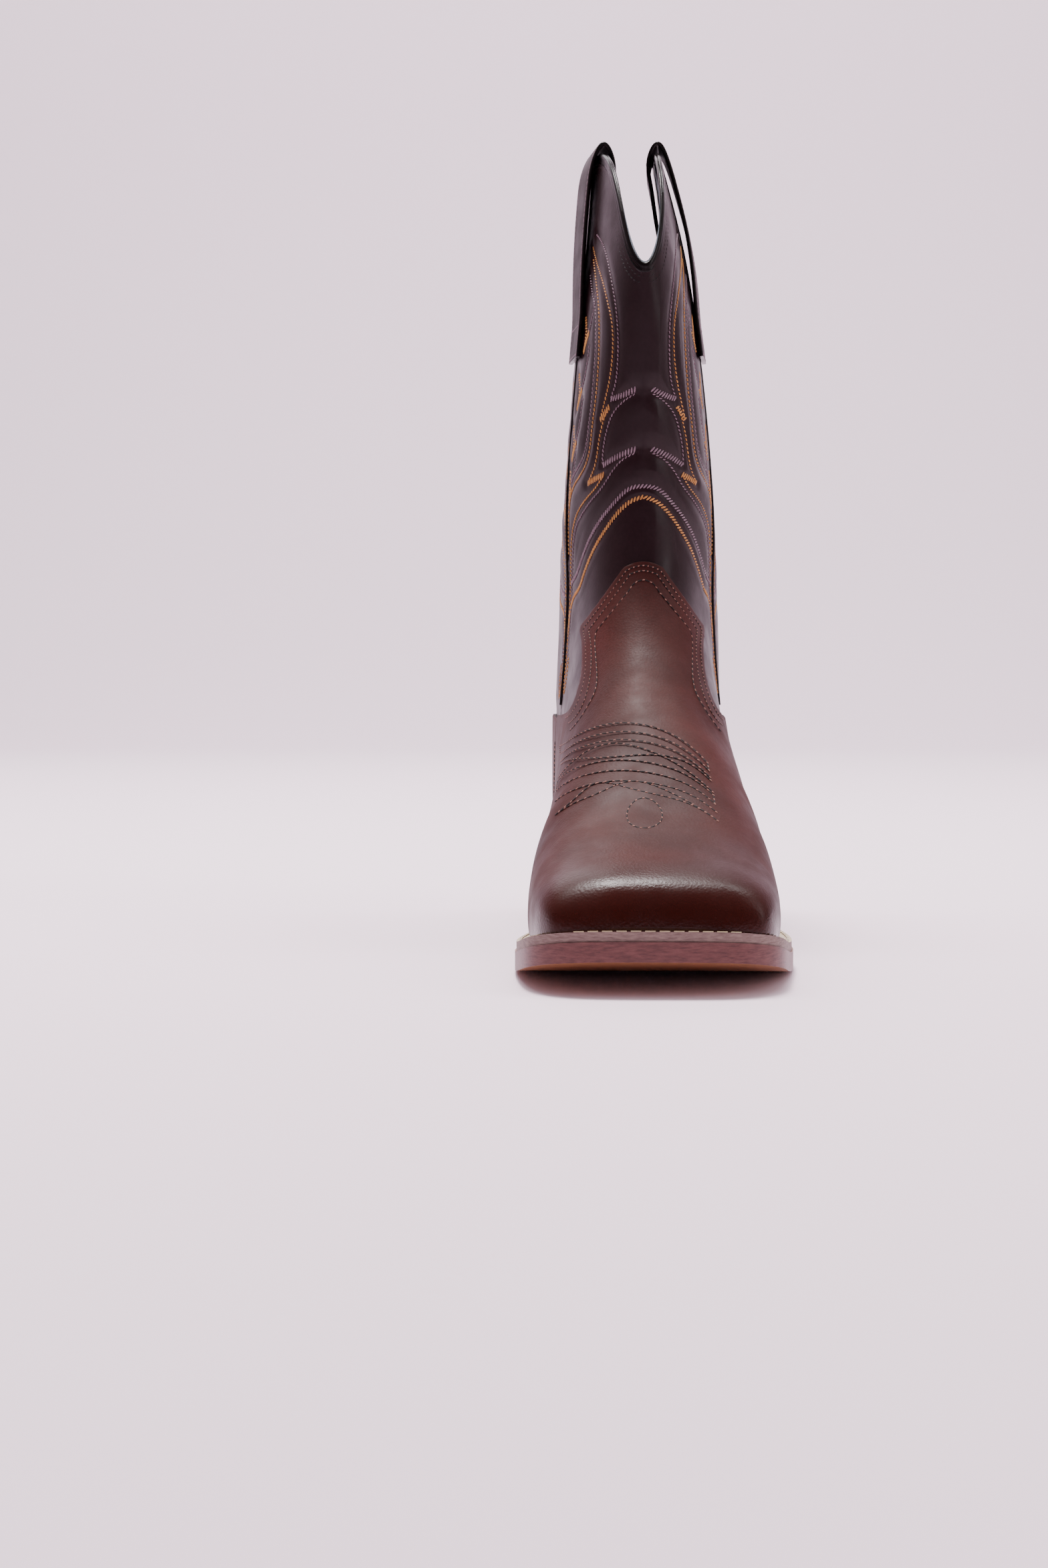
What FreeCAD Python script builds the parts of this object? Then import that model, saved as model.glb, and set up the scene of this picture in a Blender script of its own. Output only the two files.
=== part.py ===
"""A left western boot with a broad square toe, a low stacked heel and a scalloped shaft.

Row frame, in millimetres: +Z up, the toe points to -Y and the wearer's outer side is +X.
The origin is the centre of the footprint on the floor.  The heel cap and the ball of the
outsole stand on z = 0.  Every piece is a separate closed solid in its own file.
"""
import FreeCAD, Part
import math
import os

from FreeCAD import Vector

# ---- driving dimensions -------------------------------------------------------------
LEATHER = 1.6            # vamp and counter
MID_LEATHER = 1.5        # shaft panels, toe puff and counter stiffener
LINING = 1.1             # pigskin lining
LAYER_GAP = 0.2          # glue line between two layers
OVERLAY_IN = LEATHER
MID_OUT = OVERLAY_IN + LAYER_GAP
MID_IN = MID_OUT + MID_LEATHER
LINING_OUT = MID_IN + LAYER_GAP
LINING_IN = LINING_OUT + LINING

SEAM_Y = 62.0            # side seam of the shaft
SEAM_HALF = 1.0          # half the width left for the seam's piping
PIPING_OUT = 0.7         # how deep the piping's crown lies below the overlay's surface
PIPING_FOOT_Z = 103.0

HEEL_TOP = 22.3          # underside of the outsole over the heel
HEEL_BREAST_Y = 82.0
CAP_THICK = 4.8
LIFTS = 4
BOARD_GAP = 0.05
WELT_THICK = 3.7
INSOLE_THICK = 2.6
SOCK_THICK = 1.4
SEAT_START_Y = 78.0      # the outsole is flat from here back

NAIL_RADIUS = 1.1
NAIL_HEAD_RADIUS = 2.1
NAIL_HEAD_THICK = 0.9
NAIL_LOW = 1.8
NAIL_PROUD = 3.4         # above the top of the heel, inside the outsole
STRAP_WIDTH = 26.0
STRAP_THICK = 1.8
STRAP_TOP_Z = 342.1
STRAP_PIVOT_Z = 268.0    # upper end of the sewn tabs
STRAP_TAB = 17.0         # length of each sewn tab
STRAP_CUT = 0.5          # gap between a tab and its loop
OUTER_BOW = 2.0          # how far the slack loop stands off the shaft, outside and inside
INNER_BOW = 3.4
STRAP_OFF_OUTER = 0.45   # gap under the sewn tabs, outside and inside
STRAP_OFF_INNER = 1.9

RIM_FRONT_Z = 274.0
RIM_BACK_Z = 272.0
EAR_Z = 337.5
BINDING_OVER = 1.5       # how far the binding stands above the leather's edge
BINDING_UNDER = 1.7

# Fan of section planes from the toe, round the ankle, to the top of the shaft:
# sole-or-back point (y, z), top-or-front point (y, z), half widths outside and inside,
# height of the widest place as a share, squareness below it, squareness above it.
STATIONS = [
    ((-146.5, 15.5), (-146.5, 29.5), 30.0, 30.0, 0.50, 2.5, 2.5),
    ((-145.5, 14.5), (-145.0, 35.0), 36.0, 35.5, 0.45, 3.0, 2.6),
    ((-141.0, 13.5), (-140.0, 40.5), 40.5, 39.5, 0.42, 3.5, 2.8),
    ((-130.0, 11.0), (-129.0, 45.5), 44.2, 43.5, 0.38, 3.5, 2.8),
    ((-110.0, 7.0), (-110.0, 51.0), 47.0, 46.0, 0.34, 3.5, 2.7),
    ((-85.0, 5.0), (-88.0, 61.0), 48.6, 47.0, 0.30, 3.5, 2.5),
    ((-58.0, 4.0), (-66.0, 77.0), 48.8, 46.5, 0.27, 3.5, 2.3),
    ((-30.0, 4.0), (-44.0, 94.0), 47.2, 43.5, 0.27, 3.3, 2.15),
    ((5.0, 7.0), (-22.0, 112.0), 44.0, 40.0, 0.27, 3.3, 2.05),
    ((42.0, 14.0), (-5.0, 129.0), 41.0, 38.0, 0.27, 3.2, 2.1),
    ((85.0, 20.0), (5.0, 145.0), 39.8, 38.0, 0.27, 3.0, 2.2),
    ((122.0, 22.0), (10.0, 157.0), 39.8, 39.0, 0.25, 2.6, 2.2),
    ((146.0, 32.0), (12.0, 167.0), 39.8, 39.2, 0.24, 2.2, 2.2),
    ((149.5, 55.0), (12.5, 176.0), 39.8, 39.2, 0.24, 2.0, 2.1),
    ((148.0, 80.0), (12.3, 186.0), 39.2, 38.6, 0.26, 2.0, 2.0),
    ((143.5, 105.0), (11.5, 198.0), 38.2, 37.7, 0.30, 2.0, 2.0),
    ((139.5, 130.0), (10.0, 212.0), 37.0, 36.8, 0.36, 2.0, 1.95),
    ((137.5, 160.0), (7.0, 230.0), 34.8, 35.2, 0.40, 2.0, 1.85),
    ((137.5, 200.0), (2.5, 252.0), 31.8, 32.6, 0.42, 2.0, 1.72),
    ((139.0, 250.0), (-4.0, 285.0), 27.0, 29.4, 0.41, 2.0, 1.55),
    ((140.5, 300.0), (-10.0, 318.0), 19.8, 26.6, 0.37, 2.0, 1.35),
    ((142.0, 356.0), (-15.0, 356.0), 5.0, 24.6, 0.34, 2.0, 1.2),
]
TOE_STATIONS = 3.0       # the layers shrink lengthwise over this many stations
STEPS = 2                # lofted sections to each station
LOWER_POINTS = 8         # points on a section from the sole to its widest place
UPPER_POINTS = 9         # points from the widest place to the top

# Outsole: outline seen from above, the outer side first, from the toe to the heel.
OUTER_SIDE = [(20, -151.4), (34, -147.6), (43.5, -138), (48.5, -120), (52.5, -95), (55.3, -68),
              (54, -42), (48.5, -12), (42.5, 15), (38.5, 45), (36, 75), (36, 100), (34.5, 120),
              (29.5, 136), (18, 148)]
INNER_SIDE = [(-18, 148), (-29.5, 136), (-34.5, 120), (-36, 100), (-35, 76), (-32.5, 50),
              (-33.5, 20), (-38.5, -12), (-46, -45), (-51.2, -75), (-51, -100), (-48.8, -122),
              (-43.8, -139), (-34.5, -148), (-20, -151.6)]
# Underside of the outsole seen from the side, and its thickness there.
SOLE_LINE = [(-158, 14.0, 7.2), (-130, 7.4, 7.2), (-95, 1.8, 7.2), (-60, 0.0, 7.2),
             (-25, 0.8, 6.8), (10, 5.2, 6.0), (45, 14.2, 5.3), (62, 19.3, 5.1),
             (SEAT_START_Y, HEEL_TOP, 5.0)]
WIDE = 90.0              # half width of the cutting blocks


def plane_point(y, z, x=0.0):
    return Vector(x, y, z)


def spline_row(position):
    """A station's numbers at a fractional place along the fan, by Catmull-Rom."""
    rows = [(b[0], b[1], f[0], f[1], wl, wm, belt, nl, nu)
            for b, f, wl, wm, belt, nl, nu in STATIONS]
    last = len(rows) - 1
    i = min(int(position), last - 1)
    t = position - i
    a, b, c, d = (rows[max(0, min(last, k))] for k in (i - 1, i, i + 1, i + 2))
    return [0.5 * (2 * q + (r - p) * t + (2 * p - 5 * q + 4 * r - s) * t ** 2
                   + (3 * q - p - 3 * r + s) * t ** 3)
            for p, q, r, s in zip(a, b, c, d)]


def section_points(position, inset):
    """One closed section of the boot's form, shrunk by inset, starting at the sole or back."""
    by, bz, fy, fz, wide_out, wide_in, belt, lower_n, upper_n = spline_row(position)
    forward = inset * max(0.0, 1.0 - position / TOE_STATIONS)
    start, end = plane_point(by + forward, bz), plane_point(fy + forward, fz)
    height = (end - start).Length
    up = (end - start).normalize()
    lower = belt * height - inset
    upper = (1 - belt) * height - inset

    def half(width):
        out = []
        for k in range(LOWER_POINTS):
            q = math.pi / 2 * k / LOWER_POINTS
            out.append((width * math.sin(q) ** (2 / lower_n),
                        inset + lower * (1 - math.cos(q) ** (2 / lower_n))))
        for k in range(UPPER_POINTS + 1):
            q = math.pi / 2 * k / UPPER_POINTS
            out.append((width * max(math.cos(q), 0.0) ** (2 / upper_n),
                        inset + lower + upper * math.sin(q) ** (2 / upper_n)))
        return out

    outer = half(wide_out - inset)
    inner = half(wide_in - inset)[1:-1]
    flat = outer + [(-x, v) for x, v in reversed(inner)]
    return [start + up * v + Vector(x, 0, 0) for x, v in flat]


def form(inset):
    """The boot's whole form as one solid, shrunk by inset all round.

    The skin is a cubic spline surface whose control points are the sections' points: it
    runs round the sections without a seam and stops at the first and the last of them.
    """
    rows = [section_points(k / STEPS, inset) for k in range((len(STATIONS) - 1) * STEPS + 1)]
    along, around = len(rows), len(rows[0])
    skin = Part.BSplineSurface()
    skin.buildFromPolesMultsKnots(
        rows, [4] + [1] * (along - 4) + [4], [1] * (around + 1),
        [float(k) for k in range(along - 2)], [float(k) for k in range(around + 1)],
        False, True, 3, 3)
    face = skin.toShape()
    faces = [face]
    for u in (0.0, float(along - 3)):
        faces.append(Part.Face(Part.Wire([skin.uIso(u).toShape()])))
    shell = Part.makeShell(faces)
    shell.sewShape()
    solid = Part.Solid(Part.Shell(shell.Faces))
    if solid.Volume < 0:
        solid.reverse()
    return solid


def side_block(points, x_low=-WIDE, x_high=WIDE):
    """A straight-sided block from its outline seen from the side, in (y, z)."""
    face = Part.Face(Part.makePolygon([plane_point(y, z, x_low) for y, z in points + points[:1]]))
    return face.extrude(Vector(x_high - x_low, 0, 0))


def smooth(points):
    curve = Part.BSplineCurve()
    curve.interpolate(Points=points)
    return curve.toShape()


def sole_edge(height_of):
    """The side view of one sole surface: a curve to the heel seat, then a flat line."""
    points = [plane_point(y, height_of(z, t), -WIDE) for y, z, t in SOLE_LINE]
    curve = Part.BSplineCurve()
    curve.interpolate(Points=points, InitialTangent=Vector(0, 28, -7.2),
                      FinalTangent=Vector(0, 17, 0))
    flat_end = plane_point(160.0, points[-1].z, -WIDE)
    return [curve.toShape(), Part.LineSegment(points[-1], flat_end).toShape()]


def sole_slab(low, high):
    """Everything between two surfaces of the sole, each given as height_of(z, thickness)."""
    under, over = sole_edge(low), sole_edge(high)
    ends = []
    for k in (0, -1):
        a = under[k].Vertexes[0 if k == 0 else -1].Point
        b = over[k].Vertexes[0 if k == 0 else -1].Point
        ends.append(Part.LineSegment(a, b).toShape())
    wire = Part.Wire(Part.__sortEdges__(under + over + ends))
    return Part.Face(wire).extrude(Vector(2 * WIDE, 0, 0))


def outline_wire(margin=0.0):
    """The outsole's outline, moved inwards by margin."""
    points = [Vector(0, -152, 0)] + [Vector(x, y, 0) for x, y in OUTER_SIDE]
    points += [Vector(0, 152, 0)] + [Vector(x, y, 0) for x, y in INNER_SIDE]
    curve = Part.BSplineCurve()
    curve.interpolate(Points=points, PeriodicFlag=True)
    if margin:
        inward = []
        for p in points:
            along = curve.tangent(curve.parameter(p))[0]
            inward.append(p + Vector(-along.y, along.x, 0) * margin)
        curve.interpolate(Points=inward, PeriodicFlag=True)
    return Part.Wire([curve.toShape()])


def outline_prism(margin=0.0, low=-5.0, high=60.0):
    face = Part.Face(outline_wire(margin))
    face.translate(Vector(0, 0, low))
    return face.extrude(Vector(0, 0, high - low))


def seam_line(offset=0.0):
    """Side view of the joint between vamp and counter, from the sole to the side seam."""
    return [(24 + offset, -5), (30 + offset, 20), (47 + offset, 50), (SEAM_Y + offset, 84)]


def rim_points(lift):
    """Side view of the scalloped top edge, moved up by lift."""
    front, back = RIM_FRONT_Z, RIM_BACK_Z
    shape = [(-40, front), (-14, front), (-7, front + 0.5), (-2, front + 5), (4, front + 17),
             (11, front + 31), (19, front + 43), (29, front + 53), (44, EAR_Z - 2.5),
             (SEAM_Y, EAR_Z), (80, EAR_Z - 2.5), (96, back + 53), (108, back + 43),
             (118, back + 31), (127, back + 17), (134, back + 5), (140, back + 0.5),
             (147, back), (170, back)]
    return [(y, z + lift) for y, z in shape]


def below_rim(lift):
    points = [plane_point(y, z, -WIDE) for y, z in rim_points(lift)]
    curve = smooth(points)
    low = -20.0
    corners = [points[-1], plane_point(points[-1].y, low, -WIDE),
               plane_point(points[0].y, low, -WIDE), points[0]]
    sides = [Part.LineSegment(a, b).toShape() for a, b in zip(corners, corners[1:])]
    return Part.Face(Part.Wire([curve] + sides)).extrude(Vector(2 * WIDE, 0, 0))


def front_block(runs, y_low, y_high):
    """A block from half its outline seen from the front, through y_low..y_high.

    The outline is a list of smooth runs of (x, z) points; its mirror image closes it.
    """
    edges = []
    for sign in (1, -1):
        for run in runs:
            edges.append(smooth([Vector(sign * x, y_low, z) for x, z in run]))
    low = runs[-1][-1]
    edges.append(Part.LineSegment(Vector(low[0], y_low, low[1]),
                                  Vector(-low[0], y_low, low[1])).toShape())
    face = Part.Face(Part.Wire(Part.__sortEdges__(edges)))
    return face.extrude(Vector(0, y_high - y_low, 0))


def tongue_outline():
    return [[(0, 160), (4, 159.4), (8.5, 157.5)],
            [(8.5, 157.5), (16, 147), (26, 134)],
            [(26, 134), (27, 131.5), (26.5, 128), (26, 118), (27.5, 107), (31, 98.5), (36, 94.5),
             (44, 97)],
            [(44, 97), (70, 110)], [(70, 110), (70, -10)]]


def tab_outline():
    return [[(0, 120.3), (8, 120), (14, 119)],
            [(14, 119), (16.5, 111), (21.5, 102), (28, 94.5), (34, 92), (44, 97)],
            [(44, 97), (70, 110)], [(70, 110), (70, -10)]]


def above_sole(height):
    """Everything higher than the welt's top by height."""
    return sole_slab(lambda z, t: z + t + WELT_THICK + height, lambda z, t: z + 400)


def heel_block(low, high, margin):
    """One layer of the heel: the outsole's outline behind a hollowed breast."""
    block = outline_prism(margin, low, high)
    breast = Part.makeCylinder(90, high - low + 2, Vector(0, HEEL_BREAST_Y - 84, low - 1))
    front = Part.makeBox(2 * WIDE, 260, high - low + 2, Vector(-WIDE, HEEL_BREAST_Y - 262, low - 1))
    return block.cut(front).cut(breast)


def heel_nail_places():
    ring = [Vector(24 * math.sin(a), 116 + 20 * math.cos(a), 0)
            for a in (math.radians(d) for d in (-100, -60, -20, 20, 60, 100))]
    return ring


def nail(place, grow=0.0):
    """A heel nail with its flat head up, or the hole for it when it is grown by a clearance."""
    low, high = NAIL_LOW - grow, HEEL_TOP + NAIL_PROUD + grow
    body = Part.makeCylinder(NAIL_RADIUS + grow, high - low, Vector(place.x, place.y, low))
    thick = NAIL_HEAD_THICK + 2 * grow
    head = Part.makeCylinder(NAIL_HEAD_RADIUS + grow, thick,
                             Vector(place.x, place.y, high - thick))
    return body.fuse(head).removeSplitter()


def strap_profile(side, at_y, inner_skin, outer_skin):
    """One edge of a pull strap as points from its outer tab over the ear to its inner tab."""
    middle = (STRAP_PIVOT_Z + STRAP_TOP_Z) / 2
    top_out, top_in = outer_skin(EAR_Z), inner_skin(EAR_Z)
    path = [(outer_skin(STRAP_PIVOT_Z), STRAP_PIVOT_Z),
            (outer_skin(STRAP_PIVOT_Z + 15) + 1.0, STRAP_PIVOT_Z + 15),
            (outer_skin(middle) + OUTER_BOW, middle),
            (outer_skin(EAR_Z - 14) + 1.9, EAR_Z - 14),
            (top_out + 1.0, EAR_Z - 2),
            ((top_out + top_in) / 2, STRAP_TOP_Z),
            (top_in - 0.8, EAR_Z - 2),
            (inner_skin(EAR_Z - 14) - 1.9, EAR_Z - 14),
            (inner_skin(middle) - INNER_BOW, middle),
            (inner_skin(STRAP_PIVOT_Z + 15) - 1.8, STRAP_PIVOT_Z + 15),
            (inner_skin(STRAP_PIVOT_Z), STRAP_PIVOT_Z)]
    return [Vector(side * x, at_y, z) for x, z in path]


def strip_edges(path):
    """The outline of a band's side face: even thickness along a smooth path."""
    curve = Part.BSplineCurve()
    curve.interpolate(Points=path)
    steps = 40
    first, last = curve.FirstParameter, curve.LastParameter
    inner, outer = [], []
    for k in range(steps + 1):
        u = first + (last - first) * k / steps
        point, along = curve.value(u), curve.tangent(u)[0]
        across = Vector(along.z, 0, -along.x) * (STRAP_THICK / 2)
        inner.append(point - across)
        outer.append(point + across)
    return [smooth(inner), Part.LineSegment(inner[-1], outer[-1]).toShape(),
            smooth(outer), Part.LineSegment(inner[0], outer[0]).toShape()]


def thick_strip(front_path, back_path):
    """A band between two paths that lie in planes across Y."""
    sides = [strip_edges(front_path), strip_edges(back_path)]
    faces = [Part.makeRuledSurface(a, b) for a, b in zip(*sides)]
    faces += [Part.Face(Part.Wire(Part.__sortEdges__(edges))) for edges in sides]
    shell = Part.makeShell(faces)
    shell.sewShape()
    solid = Part.makeSolid(Part.Shell(shell.Faces))
    if solid.Volume < 0:
        solid.reverse()
    return solid


def side_skin(inset, side, at_y):
    """How far out one layer of the form is at y = at_y, as a function of height."""
    def at(z):
        low, high = 12.0, float(len(STATIONS) - 1)
        for _ in range(40):
            middle = (low + high) / 2
            row = spline_row(middle)
            share = (at_y - row[0]) / (row[2] - row[0])
            if row[1] + share * (row[3] - row[1]) < z:
                low = middle
            else:
                high = middle
        row = spline_row(low)
        share, belt = (at_y - row[0]) / (row[2] - row[0]), row[6]
        half = (row[4] if side > 0 else row[5]) - inset
        if share < belt:
            off, power = (belt - share) / belt, row[7]
        else:
            off, power = (share - belt) / (1 - belt), row[8]
        return half * (1 - off ** power) ** (1 / power)
    return at


def build_uppers():
    """Vamp, counter, shaft panels, linings and stiffeners, cut from three nested shells."""
    forms = {inset: form(inset)
             for inset in (0.0, OVERLAY_IN, MID_OUT, MID_IN, LINING_OUT, LINING_IN)}
    overlay = forms[0.0].cut(forms[OVERLAY_IN])
    middle = forms[MID_OUT].cut(forms[MID_IN])
    lining = forms[LINING_OUT].cut(forms[LINING_IN])
    on_welt = above_sole(0.1)
    front_half = side_block([(-200, -5)] + seam_line() + [(SEAM_Y, 400), (-200, 400)])
    back_half = side_block([(200, -5)] + seam_line(0.25) + [(SEAM_Y + 0.25, 400), (200, 400)])
    tongue = front_block(tongue_outline(), -200, SEAM_Y + 1)
    tab = front_block(tab_outline(), -10, 200)

    pieces = {}
    pieces["vamp"] = overlay.common(on_welt).common(front_half).common(tongue)
    pieces["counter"] = overlay.common(on_welt).common(back_half).common(tab)

    shaft_foot = side_block([(-60, 118), (0, 112), (20, 98), (SEAM_Y, 82), (150, 82), (200, 82),
                             (200, 400), (-60, 400)])
    front_of_seam = side_block([(-200, 0), (SEAM_Y - SEAM_HALF, 0), (SEAM_Y - SEAM_HALF, 400),
                                (-200, 400)])
    behind_seam = side_block([(SEAM_Y + SEAM_HALF, 0), (200, 0), (200, 400),
                              (SEAM_Y + SEAM_HALF, 400)])
    under_binding = below_rim(-BINDING_UNDER - 0.1)
    shaft = middle.common(shaft_foot).common(under_binding)
    pieces["shaft_front_panel"] = shaft.common(front_of_seam)
    pieces["shaft_back_panel"] = shaft.common(behind_seam)
    toe_end = side_block([(-200, 0), (-98, 0), (-104, 70), (-200, 70)])
    pieces["toe_puff"] = middle.common(on_welt).common(toe_end)
    heel_end = side_block([(82, 0), (200, 0), (200, 81), (104, 81), (84, 60)])
    pieces["counter_stiffener"] = middle.common(on_welt).common(heel_end)

    shaft_lining = lining.common(shaft_foot).common(under_binding)
    pieces["shaft_lining_front"] = shaft_lining.common(
        side_block([(-200, 0), (SEAM_Y - 0.1, 0), (SEAM_Y - 0.1, 400), (-200, 400)]))
    pieces["shaft_lining_back"] = shaft_lining.common(
        side_block([(SEAM_Y + 0.1, 0), (200, 0), (200, 400), (SEAM_Y + 0.1, 400)]))
    foot_top = side_block([(-200, 0), (-200, 117.8), (-60, 117.8), (0, 111.8), (20, 97.8),
                           (SEAM_Y, 81.8), (200, 81.8), (200, 0)])
    foot_lining = lining.common(foot_top).common(on_welt)
    pieces["vamp_lining"] = foot_lining.common(
        side_block([(-200, 0), (SEAM_Y - 0.1, 0), (SEAM_Y - 0.1, 200), (-200, 200)]))
    pieces["heel_lining"] = foot_lining.common(
        side_block([(SEAM_Y + 0.1, 0), (200, 0), (200, 200), (SEAM_Y + 0.1, 200)]))

    band = below_rim(BINDING_OVER).cut(below_rim(-BINDING_UNDER))
    rim = form(MID_OUT - 0.7).cut(form(LINING_IN + 0.4)).common(band)
    pieces["top_binding_front"] = rim.common(front_of_seam)
    pieces["top_binding_back"] = rim.common(behind_seam)

    piping = form(PIPING_OUT).cut(forms[MID_IN]).common(under_binding)
    for name, x_low, x_high in (("side_piping_lateral", 0, WIDE), ("side_piping_medial", -WIDE, 0)):
        strip = side_block([(SEAM_Y - SEAM_HALF + 0.1, PIPING_FOOT_Z),
                            (SEAM_Y + SEAM_HALF - 0.1, PIPING_FOOT_Z),
                            (SEAM_Y + SEAM_HALF - 0.1, 400), (SEAM_Y - SEAM_HALF + 0.1, 400)],
                           x_low, x_high)
        pieces[name] = piping.common(strip)

    cavity = form(LINING_IN + LAYER_GAP)
    low = WELT_THICK + 0.1
    pieces["insole_board"] = cavity.common(
        sole_slab(lambda z, t: z + t + low, lambda z, t: z + t + low + INSOLE_THICK))
    low += INSOLE_THICK + BOARD_GAP
    pieces["sock_liner"] = cavity.common(
        sole_slab(lambda z, t: z + t + low, lambda z, t: z + t + low + SOCK_THICK))
    return pieces


def build_bottom():
    """Welt, rand, outsole, fillers, shank, heel lifts, cap, nails and welt stitches."""
    pieces = {}
    over_sole = sole_slab(lambda z, t: z + t + BOARD_GAP, lambda z, t: z + t + WELT_THICK)
    ring = outline_prism(0.6).cut(outline_prism(13.0)).common(over_sole)
    pieces["welt"] = ring.common(side_block([(-200, -5), (58, -5), (58, 60), (-200, 60)]))
    pieces["heel_rand"] = ring.common(side_block([(58.3, -5), (200, -5), (200, 60), (58.3, 60)]))

    filler = sole_slab(lambda z, t: z + t + BOARD_GAP, lambda z, t: z + t + WELT_THICK - 0.1)
    inside = outline_prism(13.3).common(filler)
    pieces["cork_filler"] = inside.common(side_block([(-200, -5), (-24, -5), (-24, 60), (-200, 60)]))
    shank_band = sole_slab(lambda z, t: z + t + 0.4, lambda z, t: z + t + 2.0)
    shank_plan = Part.makeBox(15, 106, 60, Vector(-7.5, -18, -5))
    shank = shank_plan.common(shank_band)
    pieces["steel_shank"] = shank
    board = inside.common(side_block([(-22, -5), (200, -5), (200, 60), (-22, 60)]))
    slot = Part.makeBox(16, 108, 60, Vector(-8, -19, -5)).common(
        sole_slab(lambda z, t: z + t - 1, lambda z, t: z + t + 2.1))
    pieces["shank_board"] = board.cut(slot)

    nails = [nail(p) for p in heel_nail_places()]
    holes = Part.makeCompound([nail(p, 0.1) for p in heel_nail_places()])
    slab = sole_slab(lambda z, t: z, lambda z, t: z + t)
    pieces["outsole"] = outline_prism().common(slab).cut(holes)
    lift = (HEEL_TOP - CAP_THICK) / LIFTS
    for k in range(LIFTS):
        low = CAP_THICK + k * lift
        block = heel_block(low + BOARD_GAP, low + lift - BOARD_GAP / 2, 0.25 * (LIFTS - k) * 0.4)
        pieces["heel_lift_%d" % (k + 1)] = block.cut(holes)
    pieces["heel_cap"] = heel_block(0.0, CAP_THICK, 0.1).cut(holes)
    pieces["heel_nails"] = Part.makeCompound(nails)

    pieces["welt_stitches"] = welt_stitches(over_sole)
    return pieces


def welt_stitches(over_sole):
    """The lockstitches that show on the welt: short raised bars set in a row round the toe."""
    inset, pitch, long, wide, proud = 2.1, 5.0, 3.6, 0.9, 0.45
    wire = outline_wire(inset)
    count = int(wire.Length / pitch)
    points = wire.discretize(count)[:-1]
    top = sole_slab(lambda z, t: z + t + WELT_THICK + 0.05,
                    lambda z, t: z + t + WELT_THICK + 0.05 + proud)
    upper = form(-0.15)
    bars = []
    for a, b in zip(points, points[1:] + points[:1]):
        if max(a.y, b.y) > 50:
            continue
        along = (b - a).normalize()
        across = Vector(-along.y, along.x, 0) * (wide / 2)
        middle = (a + b) / 2
        start, end = middle - along * (long / 2), middle + along * (long / 2)
        face = Part.Face(Part.makePolygon([start - across, end - across, end + across,
                                           start + across, start - across]))
        bar = face.extrude(Vector(0, 0, 60)).common(top)
        if bar.common(upper).Volume < 1e-6:
            bars.append(bar)
    return Part.makeCompound([s for bar in bars for s in bar.Solids])


def build_straps():
    """Two pull straps over the ears: a free loop, and the sewn tab at each of its ends."""
    pieces = {}
    off_outer = STRAP_OFF_OUTER + STRAP_THICK / 2
    off_inner = STRAP_OFF_INNER + STRAP_THICK / 2
    edges_y = (SEAM_Y - STRAP_WIDTH / 2, SEAM_Y + STRAP_WIDTH / 2)
    top_z = STRAP_PIVOT_Z - STRAP_CUT
    tab_heights = (top_z, top_z - STRAP_TAB / 2, top_z - STRAP_TAB)
    for side, word in ((1, "lateral"), (-1, "medial")):
        loops, outer_tabs, inner_tabs = [], [], []
        for y in edges_y:
            outer, inner = side_skin(PIPING_OUT, side, y), side_skin(LINING_IN, side, y)
            loops.append(strap_profile(side, y, lambda z: inner(z) - off_inner,
                                       lambda z: outer(z) + off_outer))
            outer_tabs.append([Vector(side * (outer(z) + off_outer), y, z) for z in tab_heights])
            inner_tabs.append([Vector(side * (inner(z) - off_inner), y, z) for z in tab_heights])
        pieces["pull_strap_" + word] = thick_strip(*loops)
        pieces["strap_tabs_" + word] = Part.makeCompound([thick_strip(*outer_tabs),
                                                          thick_strip(*inner_tabs)])
    return pieces


def main():
    os.makedirs("parts", exist_ok=True)
    pieces = build_bottom()
    pieces.update(build_uppers())
    pieces.update(build_straps())
    foot = pieces["outsole"].BoundBox
    centre = Vector(-foot.Center.x, -foot.Center.y, 0)
    for name, shape in sorted(pieces.items()):
        solids = shape.Solids
        if not solids:
            raise RuntimeError(name + " came out empty")
        whole = solids[0] if len(solids) == 1 else Part.makeCompound(solids)
        whole.translate(centre)
        whole.exportStep("parts/%s.step" % name)
        box = whole.optimalBoundingBox(False)
        print("%-22s solids %3d  volume %9.1f  valid %s  x %6.1f..%6.1f y %7.1f..%7.1f z %6.1f..%6.1f"
              % (name, len(solids), whole.Volume, whole.isValid(), box.XMin, box.XMax,
                 box.YMin, box.YMax, box.ZMin, box.ZMax))
    print("moved by", centre.x, centre.y)


main()
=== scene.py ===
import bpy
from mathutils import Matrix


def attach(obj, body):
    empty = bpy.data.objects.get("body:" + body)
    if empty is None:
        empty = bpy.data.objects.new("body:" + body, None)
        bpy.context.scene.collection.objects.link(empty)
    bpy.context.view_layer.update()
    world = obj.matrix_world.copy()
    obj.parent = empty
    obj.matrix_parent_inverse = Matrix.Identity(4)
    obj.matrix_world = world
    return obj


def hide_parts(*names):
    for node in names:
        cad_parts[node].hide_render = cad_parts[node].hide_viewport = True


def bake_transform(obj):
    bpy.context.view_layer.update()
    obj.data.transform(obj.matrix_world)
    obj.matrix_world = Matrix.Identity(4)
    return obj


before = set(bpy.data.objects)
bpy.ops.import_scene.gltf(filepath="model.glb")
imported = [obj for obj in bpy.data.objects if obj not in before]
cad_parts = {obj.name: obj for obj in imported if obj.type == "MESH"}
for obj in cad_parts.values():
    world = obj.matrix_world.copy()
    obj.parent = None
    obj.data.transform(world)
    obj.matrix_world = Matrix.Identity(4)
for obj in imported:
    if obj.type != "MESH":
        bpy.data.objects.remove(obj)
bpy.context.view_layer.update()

import math
import random

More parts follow.
